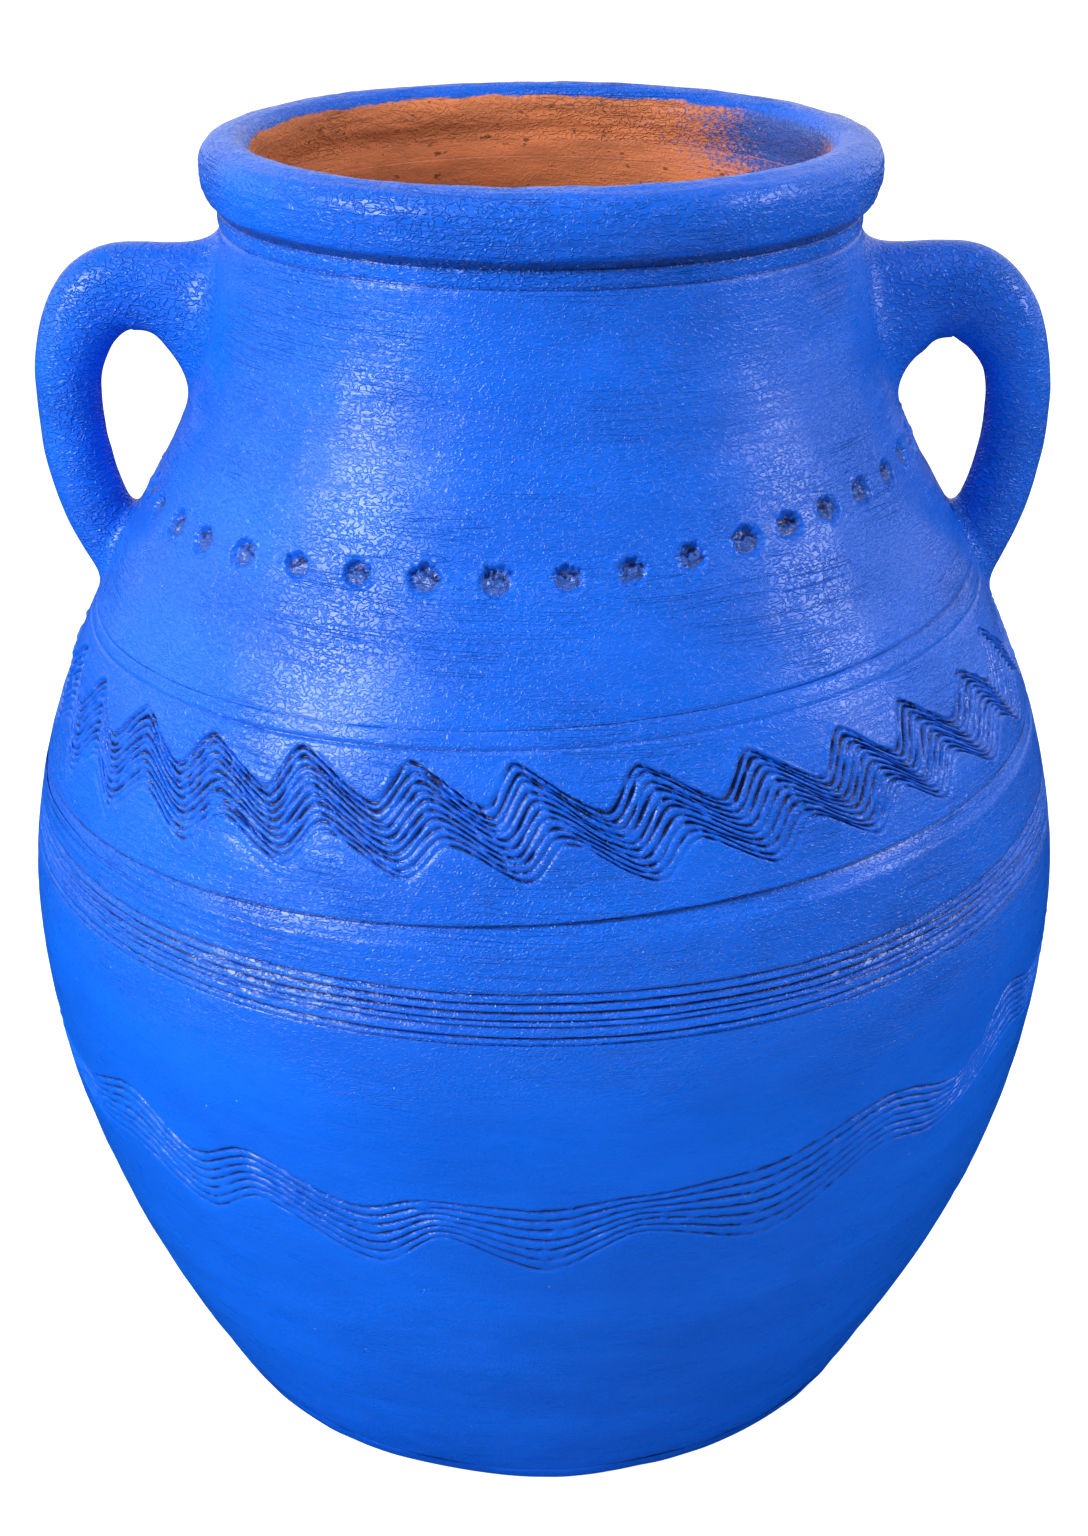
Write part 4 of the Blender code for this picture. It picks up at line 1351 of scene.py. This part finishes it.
class OLIVEJAR_OT_rim(bpy.types.Operator):
    """Build the rolled rim"""

    bl_idname = "olive_jar.rim"
    bl_label = "Rim"

    def execute(self, context):
        skin, settings, materials = jar(context)
        body = settings.body
        seam, top, neck = body.rim_seam, body.top_height, body.neck_radius
        turns = even_turns(720)
        radius, height = self.rolled(skin, body, turns)
        uneven_top = 0.0006 * np.sin(turns - 0.6) * eased((height - seam - 0.01) / 0.02)
        height_left = height - np.abs(uneven_top)
        points = swayed(np.stack(
            (radius * np.sin(turns), -radius * np.cos(turns), height_left), axis=-1))
        inward = eased((neck - 0.0080 - radius) / 0.006)
        paint = 1 - 1.15 * inward * eased((top - 0.001 - height) / 0.011)
        shade = 0.72 * eased((seam + 0.0076 - height) / 0.0045) * (1 - inward)
        rim = RingStack()
        rim.add(points, shade, paint, spray=inward * overspray(turns, height))
        rim.add(skin.foot_joint(turns, level(turns, seam), COLLAR_LAP),
                JOINT_SHADE, column((0, 0, 1, 1)))
        rim.close()
        piece = rim.build("rolled_rim", [materials["lip_paint"]])
        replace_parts(piece, "rim")
        return {"FINISHED"}

    def corners(self, body):
        """The rim's outline, from its seam round the outside, over the top and down the mouth."""
        seam, top, neck = body.rim_seam, body.top_height, body.neck_radius
        mouth = neck - body.wall - 0.0026
        return (
            (neck - 0.0006, seam + 0.0004), (neck + 0.0012, seam + 0.0013),
            (neck + 0.0036, seam + 0.0034), (neck + 0.0058, seam + 0.0060),
            (neck + 0.0070, seam + 0.0090), (neck + 0.0082, seam + 0.0140),
            (neck + 0.0086, seam + 0.0200), (neck + 0.0079, seam + 0.0255),
            (neck + 0.0048, seam + 0.0304), (neck - 0.0010, top - 0.0008),
            (neck - 0.0060, top), (neck - 0.0112, top - 0.0012),
            (neck - 0.0150, top - 0.0046), (mouth + 0.0002, top - 0.0095),
            (mouth, top - 0.0150), (mouth + 0.0008, top - 0.0215),
            (neck - body.wall - 0.0002, seam + COLLAR_LAP + 0.00004),
        )

    def rolled(self, skin, body, turns):
        """Radii and heights of the rim's rings: its outline raised square to itself by lumps.

        Inside the mouth the last rings run over into the lining of the collar below.
        """
        outline, along = smooth_outline(self.corners(body), 84)
        tangent = unit(np.gradient(outline, axis=0))
        path = column(along)
        lumps = ripple(turns, path, RIM_LUMPS) + ripple(turns, path, RIM_SMALL_LUMPS)
        drawn = ripple(turns, path, RIM_LINES) + ripple(turns, path, RIM_FINE_LINES)
        ends = eased(path / 0.003) * eased((along[-1] - path) / 0.006)
        rise = (lumps + drawn - 0.0004) * ends
        radius = column(outline[:, 0]) + rise * column(tangent[:, 1])
        height = column(outline[:, 1]) - rise * column(tangent[:, 0])
        inner = radius < body.neck_radius - 0.010
        tail = eased((body.rim_seam + 0.016 - height) / 0.009) * inner
        lining = skin.radius(height) - skin.lining(turns, height)
        return radius + (lining - radius) * tail, height


class HandleSweep:
    """Surface of one handle: an ellipse carried along three cubics in the XZ plane.

    They run from the upper root to the crest, to the outermost point, and to the lower root.
    Both roots are sunk in the wall.
    """

    def __init__(self, skin, handles, side):
        self.skin, self.side = skin, side
        neck = skin.stations[-1][0]
        sunk, lean_reach = 0.008, 0.015
        root_pull, root_rise, crest_pull, foot_pull = 0.055, 2.2, 1.62, 0.090
        heights = [neck - drop for drop in (
            handles.root_drop, handles.crest_drop, handles.side_drop, handles.foot_drop)]
        outs = (-sunk, handles.crest_out, handles.side_out, -sunk)
        root, crest, outermost, foot = [
            np.array((skin.radius(height) + out, height)) for height, out in zip(heights, outs)]
        below, above = heights[3] - lean_reach, heights[3] + lean_reach
        dip = handles.foot_angle - math.atan2(
            skin.radius(below) - skin.radius(above), 2 * lean_reach)
        rise = np.array((root_pull, (crest[1] - root[1]) * root_rise))
        out = np.array(((outermost[0] - crest[0]) * crest_pull, 0))
        down = np.array((0, (outermost[1] - crest[1]) * crest_pull))
        inward = np.array((-math.sin(dip), -math.cos(dip))) * foot_pull
        share = column(np.linspace(0, 1, 80, endpoint=False))
        self.centre = np.concatenate((
            hermite(share, root, crest, rise, out), hermite(share, crest, outermost, out, down),
            hermite(share, outermost, foot, down, inward), foot[None]))
        tall = (handles.root_tall, handles.crest_tall, handles.roll, handles.foot_roll)
        wide = (handles.root_wide, handles.crest_wide, handles.roll, handles.foot_roll)
        ease = eased(share[:, 0])
        self.tall, self.wide = [
            np.append([a + (b - a) * ease for a, b in zip(sizes, sizes[1:])], sizes[-1])
            for sizes in (tall, wide)]
        along = unit(np.gradient(self.centre, axis=0))
        self.across = np.stack((-along[:, 1], along[:, 0]), axis=-1)
        step = np.linalg.norm(np.diff(self.centre, axis=0), axis=1)
        self.length = np.concatenate(([0], np.cumsum(step)))

    def at(self, length, angle, growth=0.0):
        """Points at lengths along the sweep and angles round it, before the sway.

        Angle 0 is the side away from the jar, and half a turn is the inner side. The right
        handle is a little thicker inside its bend.
        """
        def along(values):
            return np.interp(length, self.length, values)
        seed = ROLL_SEED + self.side
        lumps = (ripple(angle, length, (0.00035, 5, 40, seed))
                 + ripple(angle, length, (0.00010, 14, 120, seed + 2)))
        drawn_in, thicker = 0.0003, 0.0032
        extra = lumps - drawn_in + growth
        if self.side > 0:
            bend = window(length, 0.030, 0.075, 0.030) * eased(-np.cos(angle) - 0.1)
            extra = extra + thicker * bend
        out = np.cos(angle) * (along(self.tall) + extra)
        x = along(self.centre[:, 0]) + along(self.across[:, 0]) * out
        z = along(self.centre[:, 1]) + along(self.across[:, 1]) * out
        y = np.sin(angle) * (along(self.wide) + extra)
        return np.stack(np.broadcast_arrays(x * self.side, y * self.side, z), axis=-1)

    def depth(self, points):
        """How far points stand out from the jar's skin, level with the floor."""
        return np.hypot(points[..., 0], points[..., 1]) - self.skin.radius(points[..., 2])

    def meeting(self, angles, upper):
        """Length at which the roll comes out of the skin, for each angle round it."""
        steps = np.linspace(0, self.length[-1], 900)[::1 if upper else -1]
        near_half = column(steps[:len(steps) // 2])
        outside = self.depth(self.at(near_half, angles)) > 0
        return steps[outside.argmax(axis=0)]


class OLIVEJAR_OT_handles(bpy.types.Operator):
    """Build the two handles and the clay smeared round their four roots"""

    bl_idname = "olive_jar.handles"
    bl_label = "Handles"

    def execute(self, context):
        skin, settings, materials = jar(context)
        for name, side in (("left", -1), ("right", 1)):
            sweep = HandleSweep(skin, settings.handles, side)
            self.roll(sweep, name, materials)
            self.luting(sweep, name, True, UPPER_SMEAR, materials)
            self.luting(sweep, name, False, LOWER_SMEAR, materials)
        return {"FINISHED"}

    def roll(self, sweep, name, materials):
        """The roll of clay itself, its ends sunk in the wall and capped."""
        angles = even_turns(96)
        length = column(np.linspace(0, sweep.length[-1], 300))
        roll = RingStack()
        roll.add(swayed(sweep.at(length, angles))[::-1])
        roll.cap(roll.first)
        roll.cap(roll.last, downwards=False)
        piece = roll.build(name + "_roll", [materials["handle_paint"]])
        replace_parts(piece, name + "_handle")

    def luting(self, sweep, name, upper, sizes, materials):
        """A collar of smeared clay: a fillet from the roll's surface out onto the jar's skin.

        For each angle round the roll, a cubic leaves the roll along its length and meets the
        skin along the skin. Both its edges tuck under the surface that they meet, and it closes
        underneath, inside the roll and the wall. The sizes are its reach on roll and on wall.
        """
        on_roll, on_wall = sizes
        nudge, inwards, full = 0.001, 0.002, 0.95
        away = 1 if upper else -1
        seed = SMEAR_SEED + (4 if upper else 0) + sweep.side
        angles = even_turns(144)
        wander = 1 + ripple(angles, 0 * angles, (0.10, 6, 1, seed))
        reach = on_roll * wander
        meets = sweep.meeting(angles, upper)
        corner = sweep.at(meets, angles)
        outward = corner - sweep.at(meets, angles, -inwards)
        start = sweep.at(meets + away * reach, angles)
        start_run = (sweep.at(meets + away * (reach - nudge), angles) - start) / nudge
        roll_out = unit(start - sweep.at(meets + away * reach, angles, -inwards))
        end, end_run, wall_out = self.on_wall(sweep.skin, corner, outward, on_wall * wander)

        pull = column(reach + on_wall * wander) * full
        share = np.linspace(0, 1, 22)[:, None, None]
        curve = hermite(share, start, end, start_run * pull, end_run * pull)
        share = share[..., 0]
        proud = ripple(angles, share * 0.02, (0.00030, 14, 90, seed + 30))
        proud = proud * eased(share / 0.3) * eased((1 - share) / 0.3)
        centre = corner - unit(outward) * 0.006
        curve = curve + unit(curve - centre) * proud[..., None]
        shallow, deep = (0.0012, 0.0001), (0.0030, 0.0012)
        first = [start - start_run * on - roll_out * down for on, down in (deep, shallow)]
        last = [end + end_run * on - wall_out * down for on, down in (shallow, deep)]
        under = centre + (curve[::-1][::3] - centre) * 0.55
        rings = np.concatenate((first, curve, last, under))
        ring = RingStack()
        ring.add(swayed(rings[::-1] if upper else rings))
        ring.close()
        end_name = "_upper" if upper else "_lower"
        piece = ring.build(name + end_name + "_smear", [materials["handle_paint"]])
        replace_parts(piece, name + end_name + "_luting")

    def on_wall(self, skin, corner, outward, run):
        """Where the smear ends on the wall, its direction there, and the wall's own outward one.

        From the corner between roll and wall it goes a run along the skin, in the direction in
        which the roll's surface points there.
        """
        turn, height = np.arctan2(corner[:, 0], -corner[:, 1]), corner[:, 2]
        slope = skin.slope(height)
        along_turn = np.stack((np.cos(turn), np.sin(turn), 0 * turn), axis=-1)
        along_up = unit(np.stack(
            (slope * np.sin(turn), -slope * np.cos(turn), 1 + 0 * turn), axis=-1))
        move = unit(np.stack(
            ((outward * along_turn).sum(1), (outward * along_up).sum(1)), axis=-1))
        end_turn = turn + move[:, 0] * run / skin.radius(height)
        end_height = height + move[:, 1] * run / np.sqrt(1 + slope * slope)
        wall_out = np.cross(along_up, along_turn)
        wall_out *= np.sign((wall_out * corner).sum(1))[:, None]
        end_run = along_turn * move[:, :1] + along_up * move[:, 1:]
        return skin.bare(end_turn, end_height), end_run, wall_out


class OLIVEJAR_OT_stage(bpy.types.Operator):
    """Set up the pale floor, the soft studio lamps and the camera"""

    bl_idname = "olive_jar.stage"
    bl_label = "Stage"

    def execute(self, context):
        scene = context.scene
        scene.view_settings.view_transform = "Standard"
        self.camera(scene)
        for lamp in LAMPS:
            self.lamp(scene, *lamp)
        self.world(scene)
        self.floor(scene)
        return {"FINISHED"}

    def camera(self, scene):
        """The camera in front of the jar, tilted down to it."""
        stage = scene.olive_jar.stage
        camera = bpy.data.cameras.new("camera")
        camera.sensor_width = 36
        camera.lens = stage.lens
        viewer = bpy.data.objects.new("camera", camera)
        viewer.location = (0, -stage.distance, stage.height)
        viewer.rotation_euler = (math.pi / 2 - stage.pitch, 0, 0)
        scene.collection.objects.link(viewer)
        scene.camera = viewer

    def lamp(self, scene, name, turn, up, width, height, power):
        """A soft rectangular lamp that faces the jar's middle, from a turn and a height given."""
        light = bpy.data.lights.new(name, "AREA")
        light.shape = "RECTANGLE"
        light.size, light.size_y, light.energy = width, height, power
        lamp = bpy.data.objects.new(name, light)
        turn, up = math.radians(turn), math.radians(up)
        back = Vector((
            math.sin(turn) * math.cos(up), -math.cos(turn) * math.cos(up), math.sin(up)))
        lamp.location = Vector(LAMP_TARGET) + back * LAMP_DISTANCE
        lamp.rotation_euler = back.to_track_quat("Z", "Y").to_euler()
        scene.collection.objects.link(lamp)

    def world(self, scene):
        """Faint even light from all round, and plain white where the camera looks past the floor.

        Gloss sees the white backdrop behind the jar, and little in the other directions.
        """
        even_light, right_share, faintest = 0.42, 0.35, 0.005
        world = bpy.data.worlds.new("studio")
        world.use_nodes = True
        scene.world = world
        tree = world.node_tree
        background = tree.nodes["Background"]
        background.inputs["Color"].default_value = (1, 1, 1, 1)
        way = node(tree, "ShaderNodeTexCoord").outputs["Generated"]
        way = node(tree, "ShaderNodeSeparateXYZ", Vector=way)
        beside = maths(tree, "MAXIMUM", way.outputs["X"], 0.0)
        behind = maths(tree, "MULTIPLY_ADD", beside, right_share, way.outputs["Y"])
        backdrop = remap(tree, behind, 0.05, 0.85, faintest, 1.0)
        tree.links.new(self.seen(tree, backdrop, even_light), background.inputs["Strength"])

    def seen(self, tree, gloss, other):
        """White for camera and transmitted rays, one level for glossy rays, one for the rest."""
        light = node(tree, "ShaderNodeLightPath").outputs
        clear = maths(tree, "MAXIMUM", light["Is Camera Ray"], light["Is Transmission Ray"])
        strength = node(tree, "ShaderNodeMix", {"data_type": "FLOAT"}, i0=light["Is Glossy Ray"],
                        i2=other, i3=gloss)
        return maths(tree, "MAXIMUM", clear, strength.outputs[0])

    def floor(self, scene):
        """A plain pale floor that keeps the jar's soft shadow, and is dark to gloss."""
        radius, corners, pale, dark = 9, 96, 0.68, 0.004
        turns = even_turns(corners)
        points = np.stack((radius * np.sin(turns), -radius * np.cos(turns), 0 * turns), axis=-1)
        mesh = bpy.data.meshes.new("floor")
        mesh.from_pydata(points, [], [list(range(corners))])
        tree, shader = new_material("pale_floor")
        light = node(tree, "ShaderNodeLightPath")
        colour = mix_colour(tree, light.outputs["Is Glossy Ray"], (pale,) * 3, (dark,) * 3)
        tree.links.new(colour, shader.inputs["Base Color"])
        shader.inputs["Roughness"].default_value = 0.9
        shader.inputs["Specular IOR Level"].default_value = 0.0
        shader.inputs["Emission Color"].default_value = (1, 1, 1, 1)
        tree.links.new(self.seen(tree, 0.0, 0.0), shader.inputs["Emission Strength"])
        mesh.materials.append(bpy.data.materials["pale_floor"])
        floor = bpy.data.objects.new("floor", mesh)
        scene.collection.objects.link(floor)


class OLIVEJAR_PT_panel(bpy.types.Panel):
    """The jar's builders, in the order in which they run"""

    bl_label = "Olive Jar"
    bl_idname = "OLIVEJAR_PT_panel"
    bl_space_type = "VIEW_3D"
    bl_region_type = "UI"
    bl_category = "Olive Jar"

    def draw(self, context):
        for maker in BUILDERS:
            self.layout.operator(maker.bl_idname)


BUILDERS = (OLIVEJAR_OT_foot, OLIVEJAR_OT_lower_wall, OLIVEJAR_OT_belly, OLIVEJAR_OT_shoulder,
            OLIVEJAR_OT_collar, OLIVEJAR_OT_rim, OLIVEJAR_OT_handles, OLIVEJAR_OT_stage)
SETTINGS = (JarBodySettings, JarMarkSettings, JarHandleSettings, JarFinishSettings,
            JarStageSettings, OliveJarSettings)


def register():
    """Register the settings, the builders and the panel."""
    for item in SETTINGS + BUILDERS + (OLIVEJAR_PT_panel,):
        bpy.utils.register_class(item)
    bpy.types.Scene.olive_jar = PointerProperty(type=OliveJarSettings)


def unregister():
    """Take them out again."""
    del bpy.types.Scene.olive_jar
    for item in reversed(SETTINGS + BUILDERS + (OLIVEJAR_PT_panel,)):
        bpy.utils.unregister_class(item)


def main():
    """Build the jar piece by piece, then the stage."""
    register()
    bpy.ops.olive_jar.foot()
    bpy.ops.olive_jar.lower_wall()
    bpy.ops.olive_jar.belly()
    bpy.ops.olive_jar.shoulder()
    bpy.ops.olive_jar.collar()
    bpy.ops.olive_jar.rim()
    bpy.ops.olive_jar.handles()
    bpy.ops.olive_jar.stage()


if __name__ == "__main__":
    main()
